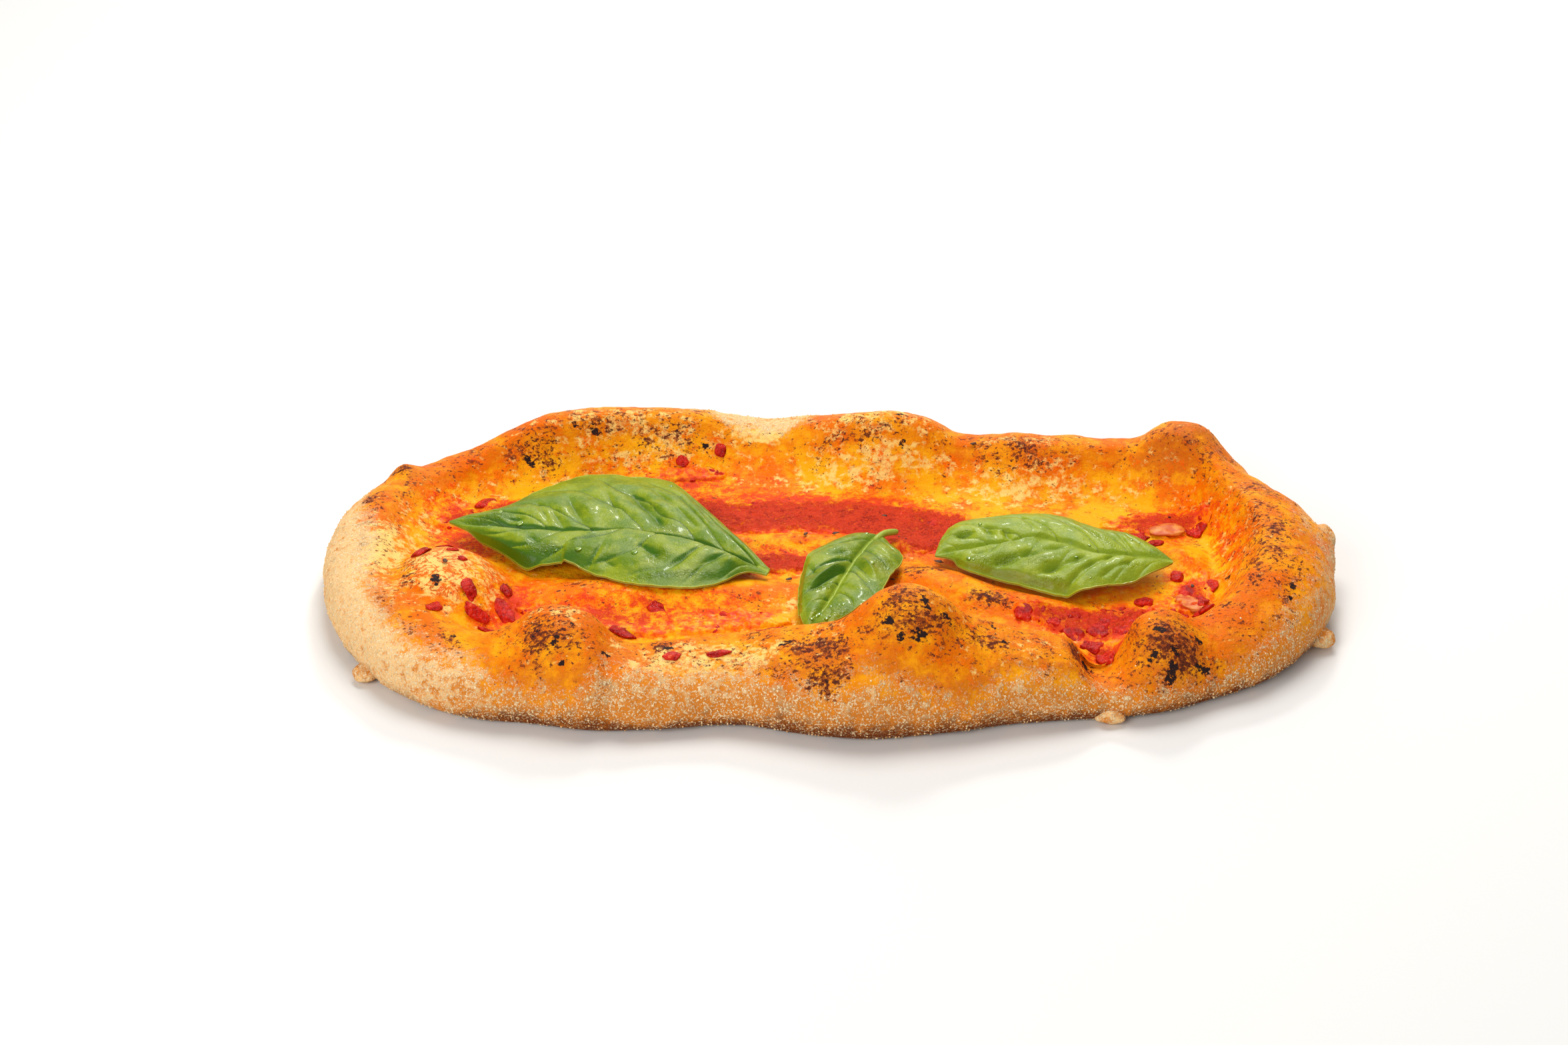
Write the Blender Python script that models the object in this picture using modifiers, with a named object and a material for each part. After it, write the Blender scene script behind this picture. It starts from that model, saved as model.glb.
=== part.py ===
"""Marinara pizza: an oval, hand-stretched base with a puffy rim, tomato sauce and three basil leaves.

The dough is one closed solid. A flat grid is wrapped round the rim like a sleeve: one way runs round the
rim, the other runs from the middle of the underside over the foot, the outer side and the crest, down the
inner slope and across the floor. Its section comes from named stations round the rim. Its bumps, pillows and
hollows are named swellings, which stand out of the outer side and rise straight up inside the crest, and one
big blister is a dome. The sauce lies on the floor in thin patches, and the leaves and garlic slices are thin
wavy sheets that rest on what is below them.
Metres, +Z up. X runs along the pizza, -Y is its front, and the origin is under its middle.
"""
import math

import bmesh
import bpy
import numpy as np
from mathutils import Vector
from mathutils.bvhtree import BVHTree

MM = 0.001  # the tables below are in millimetres

# ---- driving dimensions -------------------------------------------------------------------------------
FLOOR_HEIGHT = 9.0      # baked dough under the sauce
FOOT_INSET = 5.5        # how far the resting edge lies inside the widest outline
BULGE_SHARE = 0.38      # height of the widest outline, as a share of the crest's height
CREST_FULLNESS = 0.93   # exponent of the outer side's upper curve: 1 is an ellipse, less is fuller
SLOPE_LEAN = 0.88       # exponent of the inner slope: 1 is even, less falls sooner
CENTRE_LINE_HALF = 95.0  # the floor and the underside close on a line this long each way from the middle
CENTRE_SHIFT = (-0.87, 2.49)  # moves the modelled outline so that the origin is under its middle
TOUCH_GAP = 0.45        # space between a topping and what it rests on
ABOVE_ALL = 100.0       # a height from which rays fall on the pizza
SAUCE_THICKNESS = 0.9
LEAF_THICKNESS = 0.5
GARLIC_THICKNESS = 1.0
THIN_REACH = 1.5        # a thin topping clears the dough this far round each of its points
LEAF_REACH = 2.5        # and a leaf this far, since its cells are larger

STEPS_ROUND = 150       # cells round the rim
SAUCE_CELLS = (3, 4)    # cells between two stations of a sauce patch, and across it
LEAF_CELLS = (18, 10)   # cells along and across a leaf
GARLIC_CELLS = (8, 4)
# where the rows of the sleeve lie: 0-1 underside, 1-2 outer side, 2-3 inner slope, 3-4 floor
SLEEVE_ROWS = (0, 0.5, 1, 1.2, 1.4, 1.6, 1.8, 2, 2.18, 2.36, 2.54, 2.72, 2.88,
               3, 3.14, 3.28, 3.45, 3.65, 3.83, 4)
BULGE_ROW = 1.4         # the sleeve parameter of the widest outline
UPRIGHT_ROWS = (1.9, 2.4)  # between these rows a swelling's direction turns from the normal to straight up
FADE_HEIGHT = 9.0       # swellings grow from nothing at the foot to their full size over this height

# stations round the rim: name, widest outline (x, y), crest (x, y, height), toe of the inner slope (x, y)
RIM_STATIONS = (
    ("right", 147, -6, 127, -6, 25, 112, -6),
    ("right_back_side", 144, 13, 124, 9, 25, 112, 7),
    ("right_back_corner", 135, 30, 120, 22, 24, 109, 15),
    ("lump_right", 126, 46, 116, 35, 25.5, 105, 24),
    ("lump", 112, 55, 107, 42, 25.5, 97, 27),
    ("lump_left", 95, 60, 94, 46, 21, 89, 30),
    ("back_right", 79, 61, 78, 47, 21, 76, 31),
    ("back_right_mid", 61, 62, 61, 48, 21.5, 60, 32),
    ("back_dip", 44, 66, 43, 52, 20, 42, 34),
    ("back_bump_right", 32, 70, 31, 55, 24.5, 30, 35),
    ("back_bump", 14, 72, 14, 57, 24.5, 14, 36),
    ("back_bump_left", -2, 74, -2, 60, 21.5, -2, 39),
    ("back_pale", -20, 77, -20, 64, 18.5, -21, 44),
    ("back_left_right", -39, 78, -39, 63, 21.5, -40, 48),
    ("back_left", -59, 77, -59, 62, 22.5, -60, 47),
    ("back_left_mid", -78, 73, -77, 58, 24, -79, 44),
    ("back_left_end", -96, 66, -94, 53, 22, -94, 40),
    ("tip_right", -112, 58, -109, 45, 17.5, -105, 34),
    ("tip", -129, 46, -122, 34, 17, -110, 25),
    ("left_back", -141, 31, -131, 23, 18.5, -114, 16),
    ("left_back_side", -147, 13, -133, 9, 19, -115, 6),
    ("left", -147, -7, -132, -7, 18.5, -113, -4),
    ("left_front_side", -143, -26, -129, -23, 18, -113, -17),
    ("left_front", -134, -45, -121, -35, 18, -107, -27),
    ("front_left_corner", -120, -61, -110, -47, 18, -96, -36),
    ("front_left", -101, -72, -97, -54, 18, -88, -41),
    ("front_left_bump", -81, -76, -79, -54, 23, -76, -38),
    ("front_bump_side", -64, -79, -64, -57, 22, -64, -40),
    ("front_low", -46, -78, -46, -58, 18, -46, -41),
    ("front_low_right", -26, -76, -26, -55, 18.5, -26, -40),
    ("front_mid", -6, -81, -6, -58, 23, -7, -40),
    ("front_peak", 13, -83, 13, -60, 26, 13, -38),
    ("front_peak_right", 34, -79.5, 34, -58, 25, 34, -38),
    ("front_right_mid", 50, -76, 50, -56, 21.5, 50, -40),
    ("front_right_low", 65, -74, 65, -56, 18.5, 64, -42),
    ("valley", 77, -72.5, 77, -56, 15, 76, -43),
    ("charred_bump", 91, -70, 90, -52, 18, 88, -38),
    ("charred_bump_right", 106, -64, 102, -47, 17, 99, -32),
    ("front_right_corner", 124, -54, 114, -38, 19, 106, -28),
    ("right_front", 139, -37, 122, -27, 23, 110, -21),
    ("right_front_side", 146, -22, 126, -17, 25, 111, -13),
)

# swellings and hollows: name, x, y, height, radii along and across, turn in degrees, power of the bell
SWELLINGS = (
    ("front_peak", 21, -59, 9.5, 13, 11, 0, 2.6),
    ("charred_bump", 92, -54, 5.0, 10, 12, 0, 2.5),
    ("front_left_bump", -73, -56, 4.0, 12, 12, 0, 2.5),
    ("valley", 75, -58, -7.0, 6, 12, 0, 2),
    ("crack", -60, -74, -1.5, 3, 12, 0, 2),
    ("front_dip", -55, -58, -3.0, 7, 12, 0, 2),
    ("tip", -128, 38, 4.0, 5, 5, 0, 2),
    ("back_mid_bump", 16, 50, 3.0, 16, 12, 0, 3),
    ("back_left_bump", -52, 58, 2.0, 26, 12, 0, 3),
    ("lump", 110, 46, 4.2, 11, 11, 0, 3.5),
    ("lump_notch", 124, 36, -2.5, 5, 8, 30, 2),
    ("knob", 147, 0, 2.5, 4, 8, 0, 2),
    ("floor_ridge", -4, 8, 2.0, 30, 4, -3, 2.5),
    ("pillow_left", -48, -20, 4.0, 42, 8, 1, 3),
    ("pillow_right", 34, -17, 5.0, 17, 8, -25, 2.5),
    ("pillow_right_low", 58, -27, 3.0, 12, 6, -10, 2),
    ("floor_bump", 104, -1, 3.5, 8, 6, 0, 2),
)

# the big blister inside the left end: x, y, height over the floor, radii along and across, turn in degrees,
# and the power of its distance by which the dome falls away
BLISTER = (-111, -22, 12.3, 20, 22, -12, 2.6)
BLISTER_BLEND = 6.0     # the blister runs into the dough round it over this difference of height

# torn tabs and drips of dough round the rim: name, x, y, z, radii
DOUGH_TABS = (
    ("tab_front_left", -129.5, -50.5, 2.4, 3.6, 3.6, 2.3),
    ("tab_front", 76.5, -71, 2.4, 4.0, 3.0, 2.2),
    ("tab_right", 139.5, -34, 4.0, 5.0, 4.0, 3.0),
    ("knob_right", 145, 3, 13.0, 4.6, 5.5, 5.0),
)

# bits of tomato that stand out of the crust: x, y, radii along and across, turn in degrees
TOMATO_BITS = (
    (-118, -9, 3.6, 2.4, 30),
    (-102, -28, 3.0, 4.2, 15),
    (-99, -40, 4.4, 2.4, 5),
    (-92, -39, 3.2, 5.0, 25),
    (-121, -37, 2.6, 2.2, 0),
    (-106, 33, 4.0, 2.8, 20),
    (-45, 54, 2.8, 2.2, 0),
    (-36, 51, 4.2, 2.2, -10),
    (-33, 57, 3.0, 2.4, 0),
)
BIT_RISE = 1.2          # how far a tomato bit stands out of the dough
BIT_DEPTH = 1.0         # how deep its middle lies
BALL_FINENESS = 2       # subdivisions of the balls that tabs and bits start from

# sauce patches: name, then stations along each: x, y, half-width to the front, half-width to the back
SAUCE_PATCHES = (
    ("tomato_sauce_back",
     (-66, 30, 1, 1), (-50, 28, 8, 8), (-30, 25, 11, 9), (-8, 23, 11, 11), (14, 21, 10, 12),
     (30, 15, 16, 14), (43, 12, 9, 10), (54, 13, 1, 1)),
    ("tomato_sauce_middle",
     (-52, -2, 1, 1), (-38, -2, 5, 5), (-22, -3, 6, 6), (-6, -2, 5, 4), (6, -2, 1, 1)),
    ("tomato_sauce_left",
     (-118, 18, 1, 1), (-109, 22, 7, 7), (-98, 25, 8, 9), (-86, 27, 7, 7), (-76, 28, 1, 1)),
    ("tomato_sauce_back_foot",
     (-68, 45, 1, 1), (-54, 46, 3.5, 3), (-40, 47, 3.5, 4), (-29, 48, 1, 1)),
    ("tomato_sauce_front",
     (-90, -27, 1, 2), (-78, -31, 5, 4), (-58, -35, 6, 6), (-38, -35, 6, 6), (-22, -34, 5, 5),
     (-10, -35, 1, 1)),
    ("tomato_sauce_right",
     (52, -30, 1, 1), (62, -32, 6, 4), (74, -36, 15, 7), (84, -34, 8, 8), (94, -28, 1, 2)),
    ("tomato_sauce_right_end",
     (97, -29, 1, 1), (102, -26, 5, 5), (107, -19, 6, 6), (110, -8, 1, 1)),
    ("tomato_sauce_right_back",
     (82, 18, 1, 1), (92, 19, 7, 6), (101, 19, 9, 7), (109, 18, 6, 6), (115, 15, 1, 1)),
)

SAUCE_RIPPLE = 0.16     # how far a patch's edge wavers, as a share of its width
SAUCE_RIPPLES = 3.7     # radians of that ripple between two stations
HEADING_STEP = 0.05     # stations either way over which a strip's direction is measured

# basil leaves: name, then stations from stem to tip, each the midrib's point and one point on either edge,
# back or right first, as x, y and height over the table
BASIL_LEAVES = (
    ("basil_leaf_left",
     (-17, -14.5, 12.5, -16.5, -13, 12.5, -17.5, -16, 12.5),
     (-23.5, -10.5, 13.5, -25.5, 3, 13.5, -23, -16, 13),
     (-30.5, -6, 14.5, -39, 24.5, 13.5, -31, -21, 12.5),
     (-38.5, -1, 15, -48.5, 37.5, 13.5, -41.5, -24, 13),
     (-51, 2, 15.5, -62, 39, 14, -55, -22.5, 13),
     (-63, 4, 15.5, -75.5, 37.5, 14.5, -65.5, -17.5, 13),
     (-74.5, 4.5, 15.5, -86.5, 30, 14.5, -76, -11, 13),
     (-86.5, 5.5, 15.5, -93.5, 21.5, 14.5, -86.5, -10, 13),
     (-97.5, 7.5, 15, -101.5, 17.5, 14.5, -94.5, -3, 13.5),
     (-105.5, 9.5, 14.5, -107, 14.5, 14.5, -104, 5, 14),
     (-112, 11, 14.5, -112, 11.4, 14.5, -112, 10.6, 14.5)),
    ("basil_leaf_centre",
     (16.5, 5, 13, 17, 4.6, 13, 16, 5.4, 13),
     (13.5, 1.5, 14, 19, -1.5, 14, 8, 5.5, 13.5),
     (9, -9.5, 15.5, 22, -9.5, 14.5, -3, -4, 14.5),
     (5, -20.5, 16, 18.5, -20, 15.5, -7.5, -15, 14.5),
     (1.5, -31, 16, 14.5, -32, 17, -8.5, -28, 15),
     (-1, -37, 15.5, 8.5, -39.5, 17, -8.5, -35.5, 14.5),
     (-3.5, -42.5, 15, 1.5, -44.5, 15.5, -7.5, -42, 14),
     (-5.5, -46, 14, -5.1, -46, 14, -5.9, -46, 14)),
    ("basil_leaf_right",
     (100.5, -11, 14, 100.5, -10.4, 14, 100.2, -11.6, 14),
     (94, -10.5, 15, 95, -3.5, 15.5, 95, -16.5, 14.5),
     (86, -9.5, 15.5, 88.5, 2, 15.5, 88, -21, 14),
     (77.5, -8.5, 16, 80, 6.5, 15.5, 80, -23, 13.5),
     (69.5, -4, 16.5, 69.5, 12, 15.5, 70.5, -25.5, 13.5),
     (60.5, -1.5, 16.5, 58, 14.5, 15.5, 61, -23.5, 13.5),
     (51.5, -3.5, 16, 47, 11, 15.5, 50, -18, 14),
     (43, -5, 15.5, 38, 9, 15, 41, -15.5, 14.5),
     (36.5, -6.5, 15, 34, 1.5, 14.5, 36, -10, 14.5),
     (31.5, -8, 14.5, 31.5, -7.6, 14.5, 31.5, -8.4, 14.5)),
)
LEAF_PUFF = 1.6         # how far each half of a leaf crowns between midrib and edge
LEAF_QUILT = 0.5        # depth of the creases along the side veins
FULL_HALF = 12.0        # half-width from which a leaf's half crowns and quilts in full
LEAF_VEINS = 7          # side veins a side
VEIN_SLANT = 0.05       # how far a side vein runs on towards the tip, as a share of the leaf's length

# garlic slices: name, x, y, radii along and across, turn in degrees
GARLIC_SLICES = (
    ("garlic_slice_back", 102, 14, 5.2, 3.2, 5),
    ("garlic_slice_front", 103.5, -25.5, 4.6, 2.6, -50),
)

# colours and finishes, as linear RGB and roughness
CRUST_COLOUR = ((0.72, 0.33, 0.08, 1.0), 0.62)
SAUCE_COLOUR = ((0.52, 0.035, 0.012, 1.0), 0.45)
BASIL_COLOUR = ((0.10, 0.26, 0.04, 1.0), 0.35)
GARLIC_COLOUR = ((0.78, 0.60, 0.34, 1.0), 0.40)


# ---- scene helpers -------------------------------------------------------------------------------------
def clear_scene():
    for item in list(bpy.data.objects):
        bpy.data.objects.remove(item, do_unlink=True)


def new_collection(name):
    collection = bpy.data.collections.new(name)
    bpy.context.scene.collection.children.link(collection)
    return collection


def new_material(name, colour_and_roughness):
    colour, roughness = colour_and_roughness
    material = bpy.data.materials.new(name)
    material.use_nodes = True
    shader = material.node_tree.nodes["Principled BSDF"]
    shader.inputs["Base Color"].default_value = colour
    shader.inputs["Roughness"].default_value = roughness
    shader.inputs["Metallic"].default_value = 0.0
    return material


def object_from_bmesh(name, mesh_data, collection, material):
    mesh = bpy.data.meshes.new(name)
    mesh_data.to_mesh(mesh)
    mesh_data.free()
    mesh.materials.append(material)
    mesh.shade_smooth()
    item = bpy.data.objects.new(name, mesh)
    collection.objects.link(item)
    return item


def evaluated_tree(item):
    """Ray-casting tree of an object as its modifiers leave it."""
    bpy.context.view_layer.update()
    depsgraph = bpy.context.evaluated_depsgraph_get()
    return BVHTree.FromObject(item, depsgraph)


# ---- curves and sections -------------------------------------------------------------------------------
def through_points(points, place, closed):
    """Catmull-Rom curve through the rows of points; place counts rows, and a closed curve wraps round."""
    count = len(points)
    index = np.clip(np.floor(place).astype(int), 0, count - (0 if closed else 2))
    share = (place - index)[..., None]
    step = (index[..., None] + np.arange(-1, 3))
    step = step % count if closed else np.clip(step, 0, count - 1)
    before, start, end, after = np.moveaxis(points[step], -2, 0)
    return 0.5 * (2 * start + (end - before) * share
                  + (2 * before - 5 * start + 4 * end - after) * share ** 2
                  + (3 * start - before - 3 * end + after) * share ** 3)


def oval_distance(x, y, centre_x, centre_y, along, across, turn):
    """Distance from the centre of a turned ellipse, 1 on the ellipse itself."""
    angle = math.radians(turn)
    dx = x - centre_x
    dy = y - centre_y
    first = (dx * math.cos(angle) + dy * math.sin(angle)) / along
    second = (dy * math.cos(angle) - dx * math.sin(angle)) / across
    return np.hypot(first, second)


def smooth_step(share):
    share = np.clip(share, 0, 1)
    return share * share * (3 - 2 * share)


def rim_curves(steps):
    """Outline, crest and toe at even steps round the rim, starting at the right-hand end."""
    stations = np.array([row[1:] for row in RIM_STATIONS], dtype=float)
    fine = np.linspace(0, len(stations), len(stations) * 40 + 1)
    outline = through_points(stations[:, :2], fine, closed=True)
    walked = np.concatenate([[0], np.cumsum(np.hypot(*np.diff(outline, axis=0).T))])
    place = np.interp(np.arange(steps) / steps * walked[-1], walked, fine)
    curves = through_points(stations, place, closed=True)
    return curves[:, 0:2], curves[:, 2:5], curves[:, 5:7]


def rim_section(row, outline, crest, toe, middle):
    """One row of the sleeve, as its plan positions and heights, for the sleeve parameter row."""
    inward = crest[:, :2] - outline
    inward /= np.linalg.norm(inward, axis=1)[:, None]
    foot = outline + inward * FOOT_INSET
    bulge_height = BULGE_SHARE * crest[:, 2]
    if row <= 1:
        return middle + (foot - middle) * row, 0 * bulge_height
    if row <= BULGE_ROW:
        angle = (row - 1) / (BULGE_ROW - 1) * math.pi / 2
        return foot + (outline - foot) * math.sin(angle), bulge_height * (1 - math.cos(angle))
    if row <= 2:
        angle = (row - BULGE_ROW) / (2 - BULGE_ROW) * math.pi / 2
        inset = 1 - max(math.cos(angle), 0) ** CREST_FULLNESS
        rise = math.sin(angle) ** CREST_FULLNESS
        return outline + (crest[:, :2] - outline) * inset, bulge_height + (crest[:, 2] - bulge_height) * rise
    if row <= 3:
        share = row - 2
        ease = 0.5 * (1 + math.cos(math.pi * share ** SLOPE_LEAN))
        return crest[:, :2] + (toe - crest[:, :2]) * share, FLOOR_HEIGHT + (crest[:, 2] - FLOOR_HEIGHT) * ease
    return toe + (middle - toe) * (row - 3), FLOOR_HEIGHT + 0 * bulge_height


def sleeve_normals(points):
    around = np.roll(points, -1, axis=0) - np.roll(points, 1, axis=0)
    along = np.gradient(points, axis=1)
    normal = np.cross(around, along)
    return normal / np.maximum(np.linalg.norm(normal, axis=2), 1e-9)[..., None]


def blister_rise(points):
    """How far the blister's dome lifts each point, rounded where the dome meets the dough round it."""
    x, y, height = np.moveaxis(points, -1, 0)
    middle_x, middle_y, rise, along, across, turn, power = BLISTER
    dome = FLOOR_HEIGHT + rise * (1 - oval_distance(x, y, middle_x, middle_y, along, across, turn) ** power)
    near = np.maximum(BLISTER_BLEND - np.abs(height - dome), 0)
    return np.maximum(dome - height, 0) + near ** 2 / (4 * BLISTER_BLEND)


def dough_points(steps, rows):
    """Every point of the sleeve in millimetres, swellings included, as an array (round, along, xyz).

    A swelling is a bell of its oval distance, exp(-distance ** power), times its height.
    """
    outline, crest, toe = rim_curves(steps)
    turn = 2 * math.pi * np.arange(steps) / steps
    middle = np.stack([CENTRE_LINE_HALF * np.cos(turn), 0 * turn], axis=1)
    points = np.zeros((steps, len(rows), 3))
    for index, row in enumerate(rows):
        plan, height = rim_section(row, outline, crest, toe, middle)
        points[:, index, :2] = plan
        points[:, index, 2] = height
    swell = np.zeros(points.shape[:2])
    for _, x, y, height, along, across, angle, power in SWELLINGS:
        distance = oval_distance(points[..., 0], points[..., 1], x, y, along, across, angle)
        swell += height * np.exp(-distance ** power)
    row_values = np.array(rows)
    fade = smooth_step(points[..., 2] / FADE_HEIGHT) * (row_values > 1)
    turn_start, turn_end = UPRIGHT_ROWS
    upright = smooth_step((row_values - turn_start) / (turn_end - turn_start))[None, :, None]
    push = sleeve_normals(points) * (1 - upright) + np.array([0.0, 0.0, 1.0]) * upright
    push /= np.maximum(np.linalg.norm(push, axis=2), 1e-9)[..., None]
    points = points + push * (swell * fade)[..., None]
    points[..., 2] += blister_rise(points) * upright[..., 0]
    other_side = -np.arange(steps) % steps  # the floor's two halves meet on its middle line
    points[:, -1] = (points[:, -1] + points[other_side, -1]) / 2
    return points


# ---- the dough ----------------------------------------------------------------------------------------
def wrap_grid(points):
    """A grid primitive laid on an array of points (round, along, xyz), with its seam and ends welded."""
    steps, rows = points.shape[:2]
    closed = np.concatenate([points, points[:1]], axis=0)
    data = bmesh.new()
    bmesh.ops.create_grid(data, x_segments=steps, y_segments=rows - 1, size=1)
    for vertex in data.verts:
        step = round((vertex.co.x + 1) / 2 * steps)
        row = round((vertex.co.y + 1) / 2 * (rows - 1))
        vertex.co = closed[step, row] * MM
    bmesh.ops.remove_doubles(data, verts=data.verts, dist=1e-6)
    bmesh.ops.recalc_face_normals(data, faces=data.faces)
    return data


def ground_height(trees, x, y):
    """Highest surface of the given trees under a point of the plan, in millimetres."""
    highest = 0.0
    for tree in trees:
        hit = tree.ray_cast(Vector((x, y, ABOVE_ALL)) * MM, Vector((0, 0, -1)))[0]
        if hit is not None:
            highest = max(highest, hit.z / MM)
    return highest


def ground_around(trees, x, y, reach):
    """Highest ground within a small reach of the point, so that flat facets laid over it stay clear."""
    spots = [(0, 0)] + [(math.cos(turn), math.sin(turn)) for turn in np.arange(8) * math.pi / 4]
    return max(ground_height(trees, x + reach * a, y + reach * b) for a, b in spots)


def blob(name, centre, radii, turn, collection, material):
    """A squashed ball, for a bit of tomato or a torn tab of dough."""
    data = bmesh.new()
    bmesh.ops.create_icosphere(data, subdivisions=BALL_FINENESS, radius=1)
    angle = math.radians(turn)
    for vertex in data.verts:
        x, y, z = (vertex.co[axis] * radii[axis] for axis in range(3))
        vertex.co = (
            (centre[0] + x * math.cos(angle) - y * math.sin(angle)) * MM,
            (centre[1] + x * math.sin(angle) + y * math.cos(angle)) * MM,
            max(centre[2] + z, 0.0) * MM)
    return object_from_bmesh(name, data, collection, material)


def build_crust(parts, material):
    """The whole dough, with torn tabs and tomato bits fused on by one Boolean union."""
    data = wrap_grid(dough_points(STEPS_ROUND, SLEEVE_ROWS))
    crust = object_from_bmesh("crust", data, parts, material)
    dough_tree = evaluated_tree(crust)
    relief = new_collection("relief")
    for name, x, y, z, rx, ry, rz in DOUGH_TABS:
        blob(name, (x, y, z), (rx, ry, rz), 0, relief, material)
    for index, (x, y, along, across, turn) in enumerate(TOMATO_BITS):
        height = ground_height([dough_tree], x, y) - BIT_DEPTH
        radii = (along, across, BIT_DEPTH + BIT_RISE)
        blob(f"tomato_bit_{index + 1}", (x, y, height), radii, turn, relief, material)
    union = crust.modifiers.new("fused_relief", "BOOLEAN")
    union.operation = "UNION"
    union.solver = "EXACT"
    union.operand_type = "COLLECTION"
    union.collection = relief
    bpy.context.view_layer.update()
    fused = bpy.data.meshes.new_from_object(crust.evaluated_get(bpy.context.evaluated_depsgraph_get()))
    crust.modifiers.clear()
    crust.data = fused
    for item in list(relief.objects):
        bpy.data.objects.remove(item, do_unlink=True)
    bpy.data.collections.remove(relief)
    return crust


# ---- thin toppings -------------------------------------------------------------------------------------
def thin_sheet(name, place_point, along, across, thickness, collection, material):
    """A grid laid by place_point(share along, -1 to 1 across), thickened upwards into a closed sheet."""
    data = bmesh.new()
    bmesh.ops.create_grid(data, x_segments=along, y_segments=across, size=1)
    for vertex in data.verts:
        vertex.co = Vector(place_point((vertex.co.x + 1) / 2, vertex.co.y)) * MM
    bmesh.ops.remove_doubles(data, verts=data.verts, dist=1e-6)
    bmesh.ops.triangulate(data, faces=data.faces)
    bmesh.ops.recalc_face_normals(data, faces=data.faces)
    if sum(face.normal.z for face in data.faces) < 0:
        bmesh.ops.reverse_faces(data, faces=data.faces)
    sheet = object_from_bmesh(name, data, collection, material)
    thicken = sheet.modifiers.new("thickness", "SOLIDIFY")
    thicken.thickness = thickness * MM
    thicken.offset = 1.0
    return sheet


def strip_frame(stations, share):
    """Values of a strip's stations at a share of its length, and the unit direction across it."""
    place = share * (len(stations) - 1)
    values = through_points(stations, np.array(place), closed=False)
    ahead = through_points(stations, np.array(min(place + HEADING_STEP, len(stations) - 1.0)), closed=False)
    behind = through_points(stations, np.array(max(place - HEADING_STEP, 0.0)), closed=False)
    heading = (ahead - behind)[:2]
    heading /= np.linalg.norm(heading)
    return values, heading


def build_sauce(name, stations, trees, parts, material):
    """A thin patch of sauce that follows the dough below it."""
    rows = np.array(stations, dtype=float)

    def place_point(share, side):
        values, heading = strip_frame(rows, share)
        ripple = 1 + SAUCE_RIPPLE * math.sin(SAUCE_RIPPLES * share * len(rows) + side)
        width = (values[3] if side > 0 else values[2]) * ripple
        x = values[0] - heading[1] * side * width
        y = values[1] + heading[0] * side * width
        return x, y, ground_around(trees, x, y, THIN_REACH) + TOUCH_GAP

    cells_between, cells_across = SAUCE_CELLS
    cells_along = cells_between * (len(stations) - 1)
    return thin_sheet(name, place_point, cells_along, cells_across, SAUCE_THICKNESS, parts, material)


def build_leaf(name, stations, trees, parts, material):
    """A basil leaf: each half crowns between midrib and edge, and is quilted along its side veins."""
    rows = np.array(stations, dtype=float)

    def place_point(share, side):
        values = through_points(rows, np.array(share * (len(rows) - 1)), closed=False)
        midrib = values[0:3]
        edge = values[3:6] if side > 0 else values[6:9]
        out = abs(side)
        x, y = midrib[:2] + (edge[:2] - midrib[:2]) * out
        fullness = math.sin(math.pi * min(out, 1)) * min(math.dist(midrib[:2], edge[:2]) / FULL_HALF, 1)
        vein = math.cos(2 * math.pi * LEAF_VEINS * (share - VEIN_SLANT * out))
        height = midrib[2] + (edge[2] - midrib[2]) * out ** 2 + (LEAF_PUFF + LEAF_QUILT * vein) * fullness
        return x, y, max(height, ground_around(trees, x, y, LEAF_REACH) + TOUCH_GAP)

    return thin_sheet(name, place_point, *LEAF_CELLS, LEAF_THICKNESS, parts, material)


def build_garlic(name, x, y, along, across, turn, trees, parts, material):
    """A thin oval slice of garlic that lies on the sauce and curls a little."""
    angle = math.radians(turn)

    def place_point(share, side):
        lengthwise = 2 * share - 1
        reach = math.sqrt(max(1 - lengthwise ** 2, 0.0))
        dx = along * lengthwise
        dy = across * side * reach
        px = x + dx * math.cos(angle) - dy * math.sin(angle)
        py = y + dx * math.sin(angle) + dy * math.cos(angle)
        return px, py, ground_around(trees, px, py, THIN_REACH) + TOUCH_GAP

    return thin_sheet(name, place_point, *GARLIC_CELLS, GARLIC_THICKNESS, parts, material)


def shift_parts(parts):
    """Moves every mesh so that the origin is under the middle of the pizza."""
    offset = Vector((CENTRE_SHIFT[0] * MM, CENTRE_SHIFT[1] * MM, 0))
    for item in parts.objects:
        for vertex in item.data.vertices:
            vertex.co += offset


def build_pizza():
    clear_scene()
    parts = new_collection("marinara_pizza")
    crust_material = new_material("crust", CRUST_COLOUR)
    sauce_material = new_material("tomato_sauce", SAUCE_COLOUR)
    basil_material = new_material("basil", BASIL_COLOUR)
    garlic_material = new_material("garlic", GARLIC_COLOUR)

    crust = build_crust(parts, crust_material)
    trees = [evaluated_tree(crust)]
    sauces = [build_sauce(row[0], row[1:], trees, parts, sauce_material) for row in SAUCE_PATCHES]
    trees += [evaluated_tree(sauce) for sauce in sauces]
    for name, x, y, along, across, turn in GARLIC_SLICES:
        build_garlic(name, x, y, along, across, turn, trees, parts, garlic_material)
    for row in BASIL_LEAVES:
        build_leaf(row[0], row[1:], trees, parts, basil_material)
    shift_parts(parts)


build_pizza()
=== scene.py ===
import math

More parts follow.
